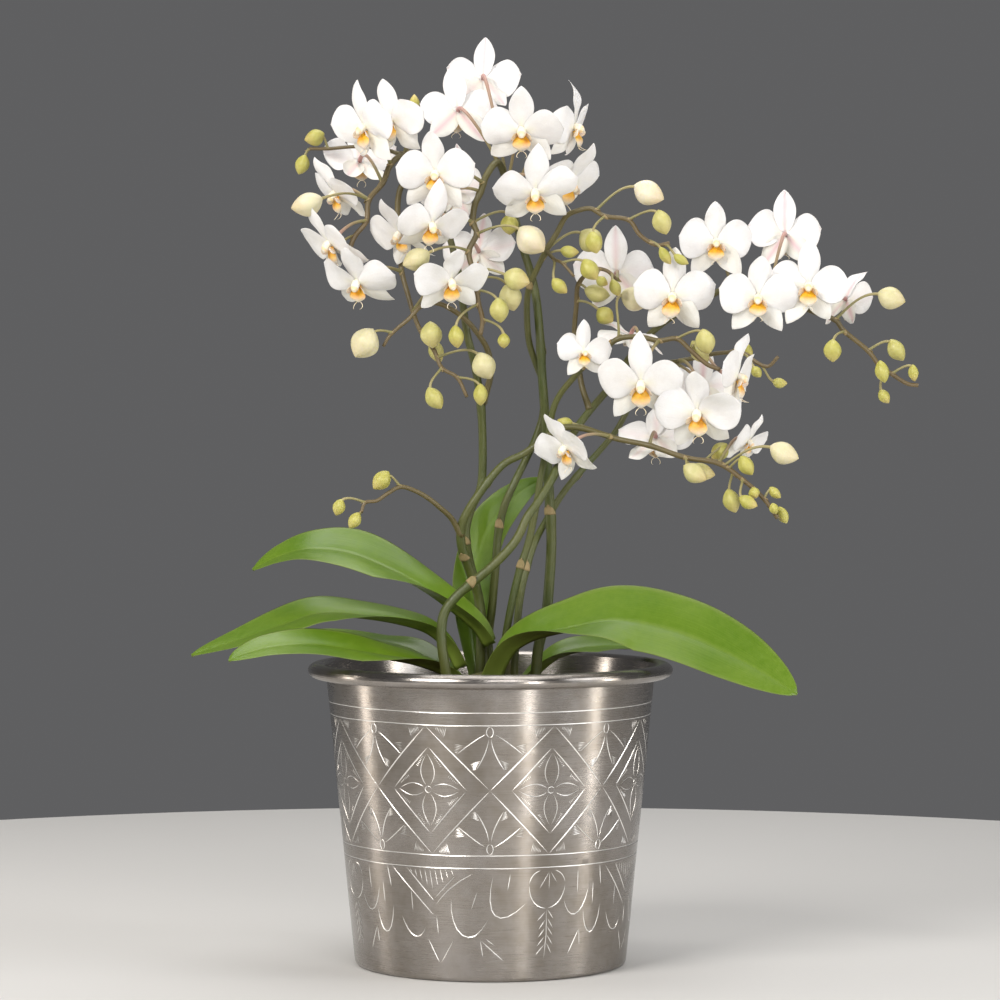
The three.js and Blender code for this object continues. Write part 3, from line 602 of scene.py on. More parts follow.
def grow(shape, sides, steps, place, slot=0, **tones):
    """Adds one grown part: a closed tube whose points place() sets, by their share of the length
    and their angle round it."""
    part = bmesh.new()
    layers = {key: part.verts.layers.float.new(key)
              for key in ("along", "across", "upper", "tone", "blush", "pale")}
    bmesh.ops.create_cone(part, cap_ends=True, segments=sides, radius1=1, radius2=1, depth=1)
    long_edges = [e for e in part.edges if abs(e.verts[0].co.z - e.verts[1].co.z) > 0.5]
    bmesh.ops.subdivide_edges(part, edges=long_edges, cuts=steps - 1)
    for v in part.verts:
        along = v.co.z + 0.5
        angle = math.atan2(v.co.y, v.co.x)
        v[layers["along"]] = along
        v[layers["across"]] = math.cos(angle)
        v[layers["upper"]] = math.sin(angle)
        for key, value in tones.items():
            v[layers[key]] = value(along) if callable(value) else value
        v.co = (origin + place(along, angle)) * mm
    bmesh.ops.recalc_face_normals(part, faces=part.faces)
    for face in part.faces:
        face.smooth = len(face.verts) == 4
        face.material_index = slot
    grown_part = bpy.data.meshes.new("grown_part")
    part.to_mesh(grown_part)
    part.free()
    shape.from_mesh(grown_part)
    bpy.data.meshes.remove(grown_part)


leaves = {
    "leaf_left_upper": {
        "route": [
            (-1, -3, 9), (-7, -4, 18), (-16, -5, 26), (-31, -6, 37), (-51, -6, 48), (-73, -5, 57),
            (-94, -3, 59), (-110, 0, 55), (-124, 3, 48),
        ],
        "half_width": 19,
        "roll": (0, -27),
        "fold": (35, 10),
    },
    "leaf_left_middle": {
        "route": [
            (-16, -3, -3), (-22, -4, 8), (-32, -6, 17), (-47, -10, 22), (-67, -11, 25),
            (-88, -13, 26), (-108, -17, 20), (-131, -19, 12), (-154, -22, 5),
        ],
        "half_width": 18,
        "roll": (0, -18),
        "fold": (30, 8),
    },
    "leaf_left_lower": {
        "route": [
            (-15, -8, -14), (-23, -10, -5), (-37, -16, 1), (-54, -26, 5), (-72, -36, 9),
            (-92, -44, 12), (-112, -52, 11), (-124, -57, 8), (-132, -61, 5),
        ],
        "half_width": 15,
        "roll": (0, -25),
        "fold": (30, 8),
    },
    "leaf_left_back": {
        "route": [
            (-16, 9, -12), (-27, 14, -4), (-42, 22, 5), (-64, 32, 9), (-85, 42, 10), (-102, 48, 11),
            (-110, 52, 11),
        ],
        "half_width": 14,
        "roll": (0, -8),
        "fold": (30, 8),
    },
    "leaf_right_front": {
        "route": [
            (2, -14, -9), (6, -16, 0), (12, -18, 9), (23, -19, 15), (41, -19, 19), (62, -20, 23),
            (82, -22, 21), (103, -25, 15), (123, -28, 6), (141, -32, -4), (157, -36, -14),
        ],
        "half_width": 23,
        "roll": (0, 45),
        "fold": (40, 8),
    },
    "leaf_right_back": {
        "route": [
            (18, 34, -14), (27, 35, -5), (38, 36, 2), (55, 39, 5), (77, 43, 5), (95, 47, 3),
        ],
        "half_width": 15,
        "roll": (0, 12),
        "fold": (30, 8),
    },
    "leaf_upright": {
        "route": [
            (-6, 26, -14), (-8, 27, 4), (-10, 28, 23), (-10, 29, 39), (-7, 30, 54), (-2, 31, 68),
            (6, 32, 79), (16, 33, 88), (28, 34, 95),
        ],
        "half_width": 11,
        "roll": (80, 80),
        "fold": (25, 8),
    },
}

blade_skin, tree, shader = surface("leaf_skin")
upper = ranged(tree, measured(tree, "upper"), -0.15, 0.15, 0.0, 1.0)
along, across = measured(tree, "along"), measured(tree, "across")
green = mottled(tree, (0.082, 0.158, 0.008), (0.118, 0.198, 0.014), 26.0, 300.0)
under = mottled(tree, (0.125, 0.175, 0.022), (0.150, 0.195, 0.030), 26.0, 300.0)
rib = ranged(tree, sums(tree, "ABSOLUTE", across, 0), 0.0, 0.16, 1.0, 0.0)
top = blend_colours(tree, sums(tree, "MULTIPLY", rib, 0.35), green.outputs["Color"],
                    (0.150, 0.225, 0.028))
edge = ranged(tree, sums(tree, "ABSOLUTE", across, 0), 0.9, 1.0, 0.0, 0.55)
top = blend_colours(tree, edge, top, (0.165, 0.205, 0.055))
top = blend_colours(tree, ranged(tree, along, 0.0, 0.14, 0.55, 0.0), top, (0.185, 0.225, 0.075))
tree.links.new(blend_colours(tree, upper, under.outputs["Color"], top), shader.inputs["Base Color"])
tree.links.new(sums(tree, "ADD", ranged(tree, upper, 0.0, 1.0, 0.5, 0.33),
                    grained(tree, green, -0.03, 0.06)), shader.inputs["Roughness"])
shader.inputs["Coat Weight"].default_value = 0.08
shader.inputs["Coat Roughness"].default_value = 0.3
shader.inputs["Specular IOR Level"].default_value = 0.35
veins = add_node(tree, "TexNoise", noise_dimensions="2D", Scale=1.0, Detail=2.0)
flat = add_node(tree, "CombineXYZ")
tree.links.new(sums(tree, "MULTIPLY", along, 5.0), flat.inputs["X"])
tree.links.new(sums(tree, "MULTIPLY", across, 26.0), flat.inputs["Y"])
tree.links.new(flat.outputs[0], veins.inputs["Vector"])
raised(tree, shader, veins.outputs["Fac"], 0.00012, 0.4)


def blade_share(t):
    """How wide a leaf is at this share of its length."""
    if t < 0.6:
        return 0.42 + 0.58 * math.sin(t / 0.6 * math.pi / 2)
    return max(0.03, math.cos((t - 0.6) / 0.4 * math.pi / 2) ** 0.62)


blade_steps = 60
for index, (name, leaf) in enumerate(leaves.items()):
    route = leaf["route"]
    line = evened([spline(route, i * (len(route) - 1) / 200) for i in range(201)], blade_steps)
    ways = headings(line)
    reach = (Vector(route[-1]) - Vector(route[0])) * Vector((1, 1, 0))
    sideways = Vector((0, 0, 1)).cross(reach).normalized()
    chance = random.Random(40 + index)
    phase, waver = chance.uniform(0, math.tau), chance.uniform(0.6, 1.3)

    def place(t, angle):
        step = round(t * blade_steps)
        ahead = ways[step]
        opened = min(1.0, t * 2)
        roll = math.radians(leaf["roll"][0] + (leaf["roll"][1] - leaf["roll"][0]) * opened)
        fold = math.radians(leaf["fold"][0] + (leaf["fold"][1] - leaf["fold"][0]) * opened)
        side = Quaternion(ahead, roll) @ (sideways - ahead * sideways.dot(ahead)).normalized()
        above = ahead.cross(side)
        c, s = math.cos(angle), math.sin(angle)
        across = math.copysign(abs(c) ** 1.5, c)
        width = leaf["half_width"] * blade_share(t)
        near_rib = max(0.0, 1 - abs(across) / 0.22)
        thick = (1.15 - 0.45 * t) * (1 - abs(across)) + 0.42 * abs(across)
        rise = abs(across) * width * math.sin(fold) - (1 - math.cos(fold)) * width * near_rib * 0.4
        wave = waver * math.sin(t * 11 + phase + across * 1.4) * across ** 2 * math.sin(math.pi * t) ** 0.5
        height = rise + wave + thick * s * abs(s) ** 0.15
        height -= near_rib * (0.75 if s > 0 else 0.95) * (1 - 0.6 * t)
        return line[step] + side * across * width * math.cos(fold) + above * height

    shape = bmesh.new()
    grow(shape, 28, blade_steps, place, tone=chance.random())
    blade = shape_to_piece(name.replace("leaf", "blade"), shape, blade_skin)
    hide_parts(name)

# Crowns. The short stems, wrapped in the clasping feet of old leaves, one round the other.
sheath_skin, tree, shader = surface("sheath_skin")
sheath = mottled(tree, (0.075, 0.100, 0.022), (0.150, 0.125, 0.045), 90.0, 700.0, 1.0, (1, 1, 0.25))
tree.links.new(blend_colours(tree, ranged(tree, measured(tree, "along"), 0.0, 0.5, 0.75, 0.0),
                             sheath.outputs["Color"], (0.15, 0.09, 0.04)), shader.inputs["Base Color"])
tree.links.new(grained(tree, sheath, 0.45, 0.65), shader.inputs["Roughness"])
raised(tree, shader, sheath.outputs["Fine"], 0.0004)
crowns = (("crown_front", (-7, -4), (6.5, 5), -5), ("crown_back", (8, 31), (7, 5), -2))
for name, middle, radii, top in crowns:
    shape = bmesh.new()
    foot = bark_top - pot_height
    for wrap in range(3):
        def place(t, angle):
            spread = (1 - 0.13 * wrap) * (1 - 0.2 * t) * (1 + 0.05 * math.sin(3 * angle + wrap))
            rise = (top - foot) * (0.62 + 0.19 * wrap) * t
            lean = 0.9 * math.cos(angle + wrap * math.pi) * t
            return Vector((middle[0] + radii[0] * spread * math.cos(angle),
                           middle[1] + radii[1] * spread * math.sin(angle), foot - 0.5 + rise + lean))
        grow(shape, 28, 8, place, tone=wrap / 2)
    crown = shape_to_piece(name.replace("crown", "short_stem"), shape, sheath_skin)
    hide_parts(name)


# Flower spikes. Wiry stems with a swollen joint and a dry scale at every node, and branches that
# bend down under their own buds. Every bud and flower has its own thin stalk: it leaves the route
# at a step, ends at a place and faces one way. A flower then has its size, and a bud its length
# and width.
spikes = {
    "left_tall": [
        {
            "radii": (2.6, 1.2),
            "route": [
                (-2, 16, -20), (-3, 16, 6), (-6, 15, 32), (-11, 11, 52), (-13, 8, 67), (-10, 8, 80),
                (-5, 9, 91), (-4, 9, 110), (-5, 7, 134), (-8, 4, 154), (-12, 2, 170), (-14, 2, 184),
                (-17, 4, 204), (-22, 6, 224), (-28, 8, 242), (-37, 10, 258), (-45, 10, 264),
                (-52, 8, 259), (-56, 2, 249), (-63, -4, 240), (-64, -8, 229), (-70, -10, 221),
                (-73, -12, 213),
            ],
            "flowers": [
                (17, (-64, -24, 276), (-6, -6, -4), 1.05),
                (15.6, (-51, 0, 281), (-5, -7, -3), 1),
                (18, (-69, 30, 262), (-2, 7, -6), 1),
                (19, (-80, 6, 244), (-6, -4, -6), 1),
                (20, (-82, -22, 217), (-6, -4, -7), 1),
            ],
            "buds": [
                (19, (-86, -24, 240), (-9, -1, -3), 17, 12.5),
                (21, (-75, -8, 219), (-9, 0, 0), 8, 6), (16, (-40, 24, 288), (0, 1, 9), 9, 6),
            ],
        },
        {
            "radii": (1.7, 0.9),
            "route": [
                (-28, 8, 242), (-37, 6, 249), (-45, 6, 249), (-48, 6, 241), (-48, 4, 227),
                (-47, 2, 214), (-46, 0, 203), (-43, -4, 192), (-40, -8, 182), (-36, -10, 172),
                (-29, -12, 162), (-25, -14, 153), (-17, -16, 148), (-12, -18, 138),
            ],
            "flowers": [
                (4, (-46, -16, 222), (-5, -5, -6), 1),
                (6, (-68, -24, 197), (-3, -6, -7), 1.05),
                (8, (-20, -34, 197), (2, -7, -6), 1),
            ],
            "buds": [
                (9, (-31, -18, 177), (1, -1, -9), 14, 11.5),
                (10, (-30, -2, 168), (3, 1, -9), 13, 8),
                (10.4, (-6, -18, 161), (4, -1, -9), 15, 12.5),
                (11, (-32, -20, 143), (5, -1, -8), 13, 9),
                (12, (-5, -18, 145), (0, 0, -9), 11.5, 7.5),
            ],
        },
        {
            "radii": (1.7, 0.8),
            "route": [
                (-4, 7, 135), (0, 2, 149), (-1, -2, 161), (-6, -8, 170), (-14, -14, 179),
                (-26, -18, 186), (-35, -20, 185), (-42, -22, 178), (-48, -22, 173), (-52, -22, 169),
                (-55, -22, 164),
            ],
            "buds": [
                (8.5, (-60, -26, 173), (-5, -2, -8), 17.5, 15),
            ],
        },
        {
            "radii": (1.1, 0.8),
            "route": [
                (-45, 10, 264), (-58, 15, 268), (-71, 18, 269), (-85, 20, 268), (-95, 20, 268),
            ],
            "buds": [
                (3, (-87, 20, 276), (-9, 0, -3), 11, 9), (4, (-97, 20, 265), (-3, 0, -9), 11, 7.5),
            ],
        },
    ],
    "left_arch": [
        {
            "radii": (2.7, 1),
            "route": [
                (-7, 9, -20), (-5, 9, 6), (-6, 8, 32), (-11, 1, 48), (-15, -5, 61), (-15, -8, 71),
                (-11, -9, 80), (-5, -9, 89), (1, -8, 97), (8, -7, 104), (18, -7, 109),
                (29, -8, 117), (37, -9, 122), (47, -9, 122), (57, -9, 119), (67, -11, 116),
                (82, -18, 113), (100, -24, 107), (117, -28, 104), (129, -30, 96), (140, -32, 86),
                (147, -34, 76),
            ],
            "flowers": [
                (14.5, (39, -26, 112), (-6, -5, -6), 0.95),
                (16, (86, 2, 117), (1, 6, -6), 1),
                (18, (133, -12, 115), (6, -5, -6), 0.7),
            ],
            "buds": [
                (13, (43, -2, 124), (-8, 0, 2), 8.5, 6),
                (18.2, (143, -34, 113), (9, -1, -4), 16, 11.5),
                (17.6, (122, -18, 114), (-6, 1, -6), 11, 9),
                (18.4, (128, -34, 108), (5, 0, -8), 11.5, 8),
                (17, (99, -30, 103), (8, -1, -5), 14, 10),
                (16.8, (103, -14, 102), (9, 1, -3), 14, 9),
                (18.6, (122, -26, 91), (3, 0, -9), 13, 9),
                (19, (127, -38, 87), (8, 0, -4), 10.5, 7), (19.5, (134, -36, 92), (3, 0, -9), 6, 6),
                (20, (143, -32, 92), (7, 0, -7), 8, 5), (20.5, (144, -38, 84), (3, 0, -9), 6, 5),
                (21, (148, -32, 82), (4, 0, -9), 9.5, 6),
            ],
        },
        {
            "radii": (1.5, 0.8),
            "route": [
                (-15, -7, 66), (-20, -12, 75), (-26, -18, 81), (-32, -22, 86), (-39, -25, 90),
                (-46, -28, 92), (-52, -30, 89), (-58, -31, 85), (-64, -32, 84), (-66, -33, 79),
            ],
            "buds": [
                (5, (-52, -30, 100), (-6, -1, -7), 12, 9), (8, (-76, -34, 86), (-3, 0, -9), 9, 6.5),
                (9, (-67, -33, 79), (-5, 0, -8), 9.5, 6.5),
            ],
        },
    ],
    "front_arch": [
        {
            "radii": (2.7, 1),
            "route": [
                (-20, -24, -20), (-23, -27, -2), (-25, -27, 13), (-24, -26, 26), (-18, -25, 35),
                (-10, -24, 42), (2, -23, 52), (13, -21, 64), (19, -19, 76), (24, -17, 83),
                (31, -13, 94), (37, -7, 106), (43, 0, 119), (52, 6, 131), (63, 12, 144),
                (74, 18, 160), (86, 22, 173), (100, 22, 183), (114, 20, 190), (126, 16, 196),
                (141, 10, 194), (156, 6, 187), (169, 2, 182), (179, 0, 178), (184, 0, 172),
                (196, -2, 162), (202, -4, 154), (208, -4, 150), (216, -4, 145), (222, -4, 144),
            ],
            "flowers": [
                (17, (94, -14, 190), (-1, -9, -3), 1.1),
                (19, (117, -2, 218), (0, -10, -2), 1),
                (19.5, (138, -16, 189), (-1, -9, -3), 1.05),
                (20.3, (154, 14, 223), (1, 9, -2), 1),
                (21, (164, -16, 195), (-1, -9, -2), 1.05),
                (22, (186, 14, 189), (6, 6, -4), 0.85),
            ],
            "buds": [
                (23, (201, -2, 192), (9, -1, -3), 15, 12),
                (24, (177, -10, 168), (0, -1, -9), 12, 9.5), (25, (208, 2, 168), (5, 0, -8), 13, 9),
                (26, (201, -14, 157), (2, -1, -9), 12, 7.5),
                (26.5, (203, 4, 142), (5, 0, -8), 8.5, 6), (27, (219, -4, 155), (1, 0, -9), 9, 5.5),
            ],
        },
        {
            "radii": (1.6, 0.9),
            "route": [
                (52, 6, 131), (48, 12, 143), (46, 16, 156), (44, 18, 171), (45, 16, 186),
                (46, 12, 197), (53, 8, 204), (60, 5, 204), (66, 3, 199),
            ],
            "flowers": [
                (8, (66, 24, 203), (-1, 9, -2), 1.1),
            ],
            "buds": [
                (4.2, (56, 10, 184), (7, -1, -6), 10.5, 9.5),
                (5, (49, 11, 194), (9, 1, -2), 14, 9.5), (6.5, (55, 0, 200), (8, 0, -5), 7, 5.5),
                (7.5, (63, -4, 199), (4, 0, -9), 9.5, 6),
            ],
        },
    ],
    "middle": [
        {
            "radii": (2.3, 1),
            "route": [
                (2, 21, -20), (-1, 20, 8), (1, 17, 29), (3, 14, 53), (4, 13, 66), (7, 12, 80),
                (12, 13, 92), (18, 16, 104), (24, 20, 117), (28, 22, 131), (28, 20, 144),
                (24, 16, 155), (20, 12, 168), (19, 6, 187), (21, 0, 197), (25, -4, 206),
                (29, -8, 214), (34, -10, 222), (39, -12, 231), (45, -14, 234), (52, -16, 235),
                (59, -18, 231), (71, -20, 229), (77, -22, 221), (85, -24, 216), (92, -24, 217),
            ],
            "buds": [
                (20.3, (74, -20, 247), (8, -1, -4), 17, 13),
                (22, (86, -26, 234), (3, -1, -9), 13.5, 10),
                (16, (47, -2, 224), (7, 1, -6), 14, 13), (21, (52, -24, 223), (2, -2, -9), 12, 9),
                (15.5, (36, -8, 214), (9, 1, -1), 10, 6.5),
                (23.6, (87, -26, 215), (5, 0, -8), 10.5, 5.5),
                (24.6, (94, -26, 211), (8, 0, -5), 9, 5),
            ],
        },
        {
            "radii": (1, 0.7),
            "route": [
                (29, -8, 214), (33, -14, 209), (37, -18, 207), (43, -22, 200),
            ],
            "buds": [
                (1, (32, -18, 199), (7, 0, -7), 10.5, 7), (2, (48, -18, 209), (5, 0, -8), 12.5, 9.5),
            ],
        },
    ],
    "slender_left": [
        {
            "radii": (2.1, 1.1),
            "route": [
                (5, 4, -20), (7, 3, 6), (11, 2, 30), (15, 2, 47), (20, 2, 63), (24, 2, 82),
                (26, 2, 95), (29, 2, 110), (32, 0, 129), (36, -2, 139), (44, -6, 149),
                (52, -10, 158), (58, -12, 162), (66, -14, 168), (77, -16, 169), (87, -18, 167),
                (96, -20, 168), (103, -22, 162), (111, -24, 155), (118, -26, 152),
            ],
            "flowers": [
                (12.5, (48, -20, 161), (2, -9, -2), 0.72),
                (14, (73, 4, 170), (-3, 3, -9), 0.95),
                (15, (77, -38, 145), (-1, -8, -6), 1.15),
            ],
            "buds": [
                (13, (68, 6, 192), (9, 1, -3), 16, 13),
                (16, (109, -26, 173), (2, -1, -9), 13.5, 10.5),
                (17, (104, -14, 167), (6, 0, -8), 14, 9),
            ],
        },
    ],
    "slender_right": [
        {
            "radii": (2.1, 0.9),
            "route": [
                (12, 12, -20), (13, 12, 6), (15, 12, 29), (18, 13, 45), (23, 18, 61), (30, 25, 74),
                (38, 27, 87), (47, 29, 98), (58, 31, 110), (67, 34, 121), (75, 36, 136),
                (82, 34, 148), (91, 30, 155), (100, 26, 157), (110, 22, 159), (120, 18, 161),
                (132, 14, 161), (139, 10, 156), (145, 8, 154), (150, 6, 159),
            ],
            "flowers": [
                (12.5, (112, 36, 143), (1, 9, -3), 1),
                (13, (106, -36, 130), (-2, -8, -5), 1.15),
                (14, (127, -14, 148), (9, -4, -2), 1),
            ],
            "buds": [
                (15.5, (132, 20, 167), (5, 0, -8), 10, 6), (16, (137, 8, 154), (5, 0, -7), 7, 5.5),
                (17, (147, 8, 146), (9, 0, -1), 8, 5.5),
            ],
        },
    ],
    "right_tall": [
        {
            "radii": (2.9, 1.1),
            "route": [
                (23, 21, -20), (25, 21, 5), (29, 20, 21), (31, 19, 42), (32, 18, 63), (31, 17, 84),
                (30, 14, 100), (29, 11, 121), (28, 10, 136), (27, 9, 149), (26, 10, 168),
                (24, 12, 189), (21, 14, 203), (17, 16, 216), (12, 18, 235), (9, 14, 248),
                (4, 8, 260), (-2, 0, 253), (-5, -6, 244), (-8, -12, 237), (-9, -14, 228),
                (-7, -16, 222), (-11, -18, 213), (-9, -20, 203), (-7, -22, 193), (-6, -22, 186),
                (-4, -22, 178), (-5, -22, 170),
            ],
            "flowers": [
                (15, (-4, 36, 306), (0, 9, -3), 1),
                (16, (-17, 18, 288), (-1, 9, -3), 1.05),
                (15, (16, -22, 275), (0, -8, -5), 1.1),
                (14.5, (43, 6, 278), (9, -4, -2), 1),
                (15.2, (23, -28, 243), (0, -7, -6), 1.1),
                (14, (41, 14, 250), (5, -5, -6), 1.1),
                (17.5, (-28, -32, 252), (-1, -9, -4), 1.05),
                (18, (-19, 12, 244), (4, 8, -3), 1),
                (20, (-30, -34, 226), (2, -7, -6), 1),
                (22, (-6, 15, 214), (2, 8, -4), 1),
            ],
            "buds": [
                (22, (-31, -33, 212), (-8, -2, -4), 15.5, 12),
                (21, (15, -24, 225), (6, -2, -6), 18, 15), (20, (10, -4, 233), (0, 0, -9), 11, 9.5),
                (23, (7, -24, 201), (9, -1, -3), 14, 12), (23.4, (9, -12, 197), (2, 1, -9), 15, 12),
                (24, (4, -26, 189), (1, 0, -9), 13, 10), (25, (-18, -26, 175), (1, 0, -9), 12, 8),
                (26, (7, -22, 171), (0, 0, -9), 8, 6.5),
            ],
        },
    ],
}


def still_frames(line):
    """The line's points, each with its heading and two directions across it that don't twist."""
    side = Vector((0.3, 1, 0.2))
    result = []
    for point, ahead in zip(line, headings(line)):
        side = (side - ahead * side.dot(ahead)).normalized()
        result.append((point, ahead, side, side.cross(ahead)))
    return result


def facing(direction):
    return Vector(direction).normalized()


def stalk_line(start, end, direction, steps):
    """A stalk springs up from its node and comes in behind its flower or bud."""
    span = (end - start).length
    leave = (end - start).normalized() + Vector((0, 0, 0.45))
    first = start + leave.normalized() * span * 0.4
    return geometry.interpolate_bezier(start, first, end - direction * span * 0.4, end, steps + 1)


def tube(shape, line, radius, sides, slot, **tones):
    """A round stem along a line, with its radius given by the share of its length."""
    frames = still_frames(line)

    def place(t, angle):
        point, ahead, side, across = frames[round(t * (len(frames) - 1))]
        return point + (side * math.cos(angle) + across * math.sin(angle)) * radius(t)

    grow(shape, sides, len(frames) - 1, place, slot, **tones)


def scale_leaf(shape, point, ahead, outward, radius, length):
    """The dry scale that clasps a node."""
    outward = (outward - ahead * outward.dot(ahead)).normalized()
    aside = ahead.cross(outward)

    def place(t, angle):
        c, s = math.cos(angle), math.sin(angle)
        wrap = c * math.radians(82) * (1 - t) ** 0.55
        out = radius * (1.06 + 0.25 * t ** 2) + 0.16 * s
        return (point + ahead * (length * (t - 0.15) - 0.25 * length * abs(c) * t)
                + (outward * math.cos(wrap) + aside * math.sin(wrap)) * out)

    grow(shape, 12, 6, place, 1, tone=0.5)


stem_skin, tree, shader = surface("stem_skin")
stem_colour = mottled(tree, (0.048, 0.066, 0.010), (0.080, 0.086, 0.017), 60.0, 900.0, 1.0,
                      (1, 1, 0.4))
shade = blend_colours(tree, ranged(tree, measured(tree, "tone"), 0.0, 1.0, 0.0, 0.75),
                      stem_colour.outputs["Color"], (0.150, 0.095, 0.048))
shade = blend_colours(tree, measured(tree, "pale"), shade, (0.36, 0.33, 0.13))
shade = blend_colours(tree, measured(tree, "blush"), shade, (0.50, 0.235, 0.275))
tree.links.new(shade, shader.inputs["Base Color"])
gloss = grained(tree, stem_colour, 0.38, 0.55)
tree.links.new(gloss, shader.inputs["Roughness"])
raised(tree, shader, stem_colour.outputs["Fine"], 0.0002)
scale_skin, tree, shader = surface("dry_scale")
dry = mottled(tree, (0.33, 0.235, 0.12), (0.205, 0.165, 0.065), 160.0, 1200.0, 1.0, (1, 1, 0.3))
tree.links.new(dry.outputs["Color"], shader.inputs["Base Color"])
tree.links.new(grained(tree, dry, 0.6, 0.8), shader.inputs["Roughness"])
raised(tree, shader, dry.outputs["Fine"], 0.0002)
bud_skin, tree, shader = surface("bud_skin")
bud_green = mottled(tree, (0.385, 0.365, 0.070), (0.49, 0.46, 0.13), 120.0, 1100.0)
ripe = mottled(tree, (0.72, 0.68, 0.48), (0.77, 0.68, 0.58), 120.0, 1100.0)
shade = blend_colours(tree, measured(tree, "tone"), bud_green.outputs["Color"], ripe.outputs["Color"])
towards_tip = ranged(tree, measured(tree, "along"), 0.45, 1.0, 0.0, 1.0)
tip_blush = sums(tree, "MULTIPLY", towards_tip, measured(tree, "blush"))
tree.links.new(blend_colours(tree, tip_blush, shade, (0.62, 0.42, 0.20)), shader.inputs["Base Color"])
tree.links.new(grained(tree, ripe, 0.38, 0.5), shader.inputs["Roughness"])
let_light_in(shader, 0.25, (0.9, 0.8, 0.35), 0.002)
raised(tree, shader, ripe.outputs["Fine"], 0.0002)

stem_steps = 6
chance = random.Random(5)
blooms = []
for spike_name, axes in spikes.items():
    shape = bmesh.new()
    swelling = bmesh.new()
    borne = 0
    for rank, axis in enumerate(axes):
        route, (thick, thin) = axis["route"], axis["radii"]
        spans = len(route) - 1
        line = [spline(route, i / stem_steps) for i in range(spans * stem_steps + 1)]
        bearing = [bud[0] / spans for bud in axis.get("buds", [])]
        bearing += [flower[0] / spans for flower in axis.get("flowers", [])]
        bare = min(bearing)
        spaced = () if rank else (0.17, 0.36, 0.55, 0.74)
        joints = [share for share in spaced if share < bare - 0.06]
        length = sum((b - a).length for a, b in zip(line, line[1:]))

        def radius(t):
            swell = sum(math.exp(-((t - at) * length / 2.6) ** 2) for at in joints)
            swell += 0.6 * sum(math.exp(-((t - at) * length / 1.8) ** 2) for at in bearing)
            flare = 0.45 * math.exp(-t * length / 3.0) if rank else 0.0
            return (thick + (thin - thick) * t) * (1 + 0.16 * min(swell, 1.3) + flare)

        def brownness(t):
            return 0.6 + 0.4 * t if rank else min(1.0, max(0.0, 1.9 * t - 0.75))

        tube(shape, line, radius, 16, 0, tone=brownness)
        frames = still_frames(line)
        for i, share in enumerate(joints):
            point, ahead, side, across = frames[round(share * spans * stem_steps)]
            outward = side if i % 2 else -side
            scale_leaf(shape, point, ahead, outward, radius(share), 6.5)
        stalked = [(f[0], Vector(f[1]), facing(f[2]), None) for f in axis.get("flowers", [])]
        stalked += [(b[0], Vector(b[1]), facing(b[2]), b) for b in axis.get("buds", [])]
        for at, to, direction, bud in stalked:
            start = Vector(route[int(at)]).lerp(Vector(route[min(int(at) + 1, spans)]), at % 1)
            end = to + direction * bud[3] * 0.3 if bud else to - direction * 0.35
            stalk = stalk_line(start, end, direction, 16)
            if bud:
                tube(shape, stalk, lambda t: 0.62 + 0.35 * math.exp(-t * 9) + 0.35 * t ** 4, 10, 0,
                     tone=0.3, pale=lambda t: 0.35 + 0.55 * t, blush=lambda t: 0.12 * t)
            else:
                tube(shape, stalk, lambda t: 0.78 + 0.4 * math.exp(-t * 9) + 0.42 * t ** 3, 12, 0,
                     tone=0.3, pale=lambda t: 0.35 + 0.5 * t, blush=lambda t: 0.85 * t ** 1.4)
            point, ahead, *_ = frames[round(at * stem_steps)]
            scale_leaf(shape, point, ahead, headings(stalk)[1], 0.9 * radius(at / spans), 3.4)
            if not bud:
                continue
            size, girth = bud[3], bud[4] / 2
            side = direction.orthogonal().normalized()
            across = direction.cross(side)
            bend = Vector((0, 0, -0.05 * size))

            def place(t, angle):
                swell = math.sin(math.pi * t ** 0.92) ** 0.75 * (1 - 0.12 * t)
                keel = 1.02 + 0.05 * abs(math.sin(1.5 * angle)) - 0.10 * abs(math.cos(1.5 * angle)) ** 14
                out = girth * max(0.03, swell) * keel
                return (to + direction * size * t + bend * 4 * t * (1 - t)
                        + (side * math.cos(angle) + across * math.sin(angle)) * out)

            ripeness = min(1.0, max(0.0, (size - 12.5) / 5))
            grow(swelling, 24, 18, place, tone=ripeness * chance.uniform(0.6, 1.0),
                 blush=chance.uniform(0.1, 0.5))
        for flower in axis.get("flowers", []):
            borne += 1
            blooms.append((f"{spike_name}_flower_{borne}", flower))
    stems = shape_to_piece(spike_name + "_stems", shape, stem_skin, scale_skin)
    buds = shape_to_piece(spike_name + "_buds", swelling, bud_skin)
    for piece, slot in ((stems, "stem"), (buds, "bud")):
        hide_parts("spike_" + spike_name)


# Flowers. Three sepals stand behind two broad round petals, all thin, soft and slightly
# crystalline white. Each flower is cupped, waved and turned a little in its own way.
tepal_skin, tree, shader = surface("tepal_skin")
along, across = measured(tree, "along"), measured(tree, "across")
white = mottled(tree, (0.80, 0.775, 0.76), (0.875, 0.86, 0.855), 140.0, 1500.0)
middle = ranged(tree, sums(tree, "ABSOLUTE", across, 0), 0.0, 0.5, 1.0, 0.0)
shade = blend_colours(tree, sums(tree, "MULTIPLY", ranged(tree, along, 0.0, 0.3, 0.5, 0.0), middle),
                      white.outputs["Color"], (0.70, 0.72, 0.42))
cream = sums(tree, "MULTIPLY", measured(tree, "tone"), ranged(tree, along, 0.1, 1.0, 0.5, 0.25))
shade = blend_colours(tree, cream, shade, (0.74, 0.70, 0.45))
behind = ranged(tree, measured(tree, "upper"), -0.05, 0.05, 1.0, 0.0)
keel = sums(tree, "MULTIPLY", sums(tree, "MULTIPLY", behind, middle), measured(tree, "blush"))
tree.links.new(blend_colours(tree, keel, shade, (0.72, 0.47, 0.50)), shader.inputs["Base Color"])
tree.links.new(grained(tree, white, 0.42, 0.6), shader.inputs["Roughness"])
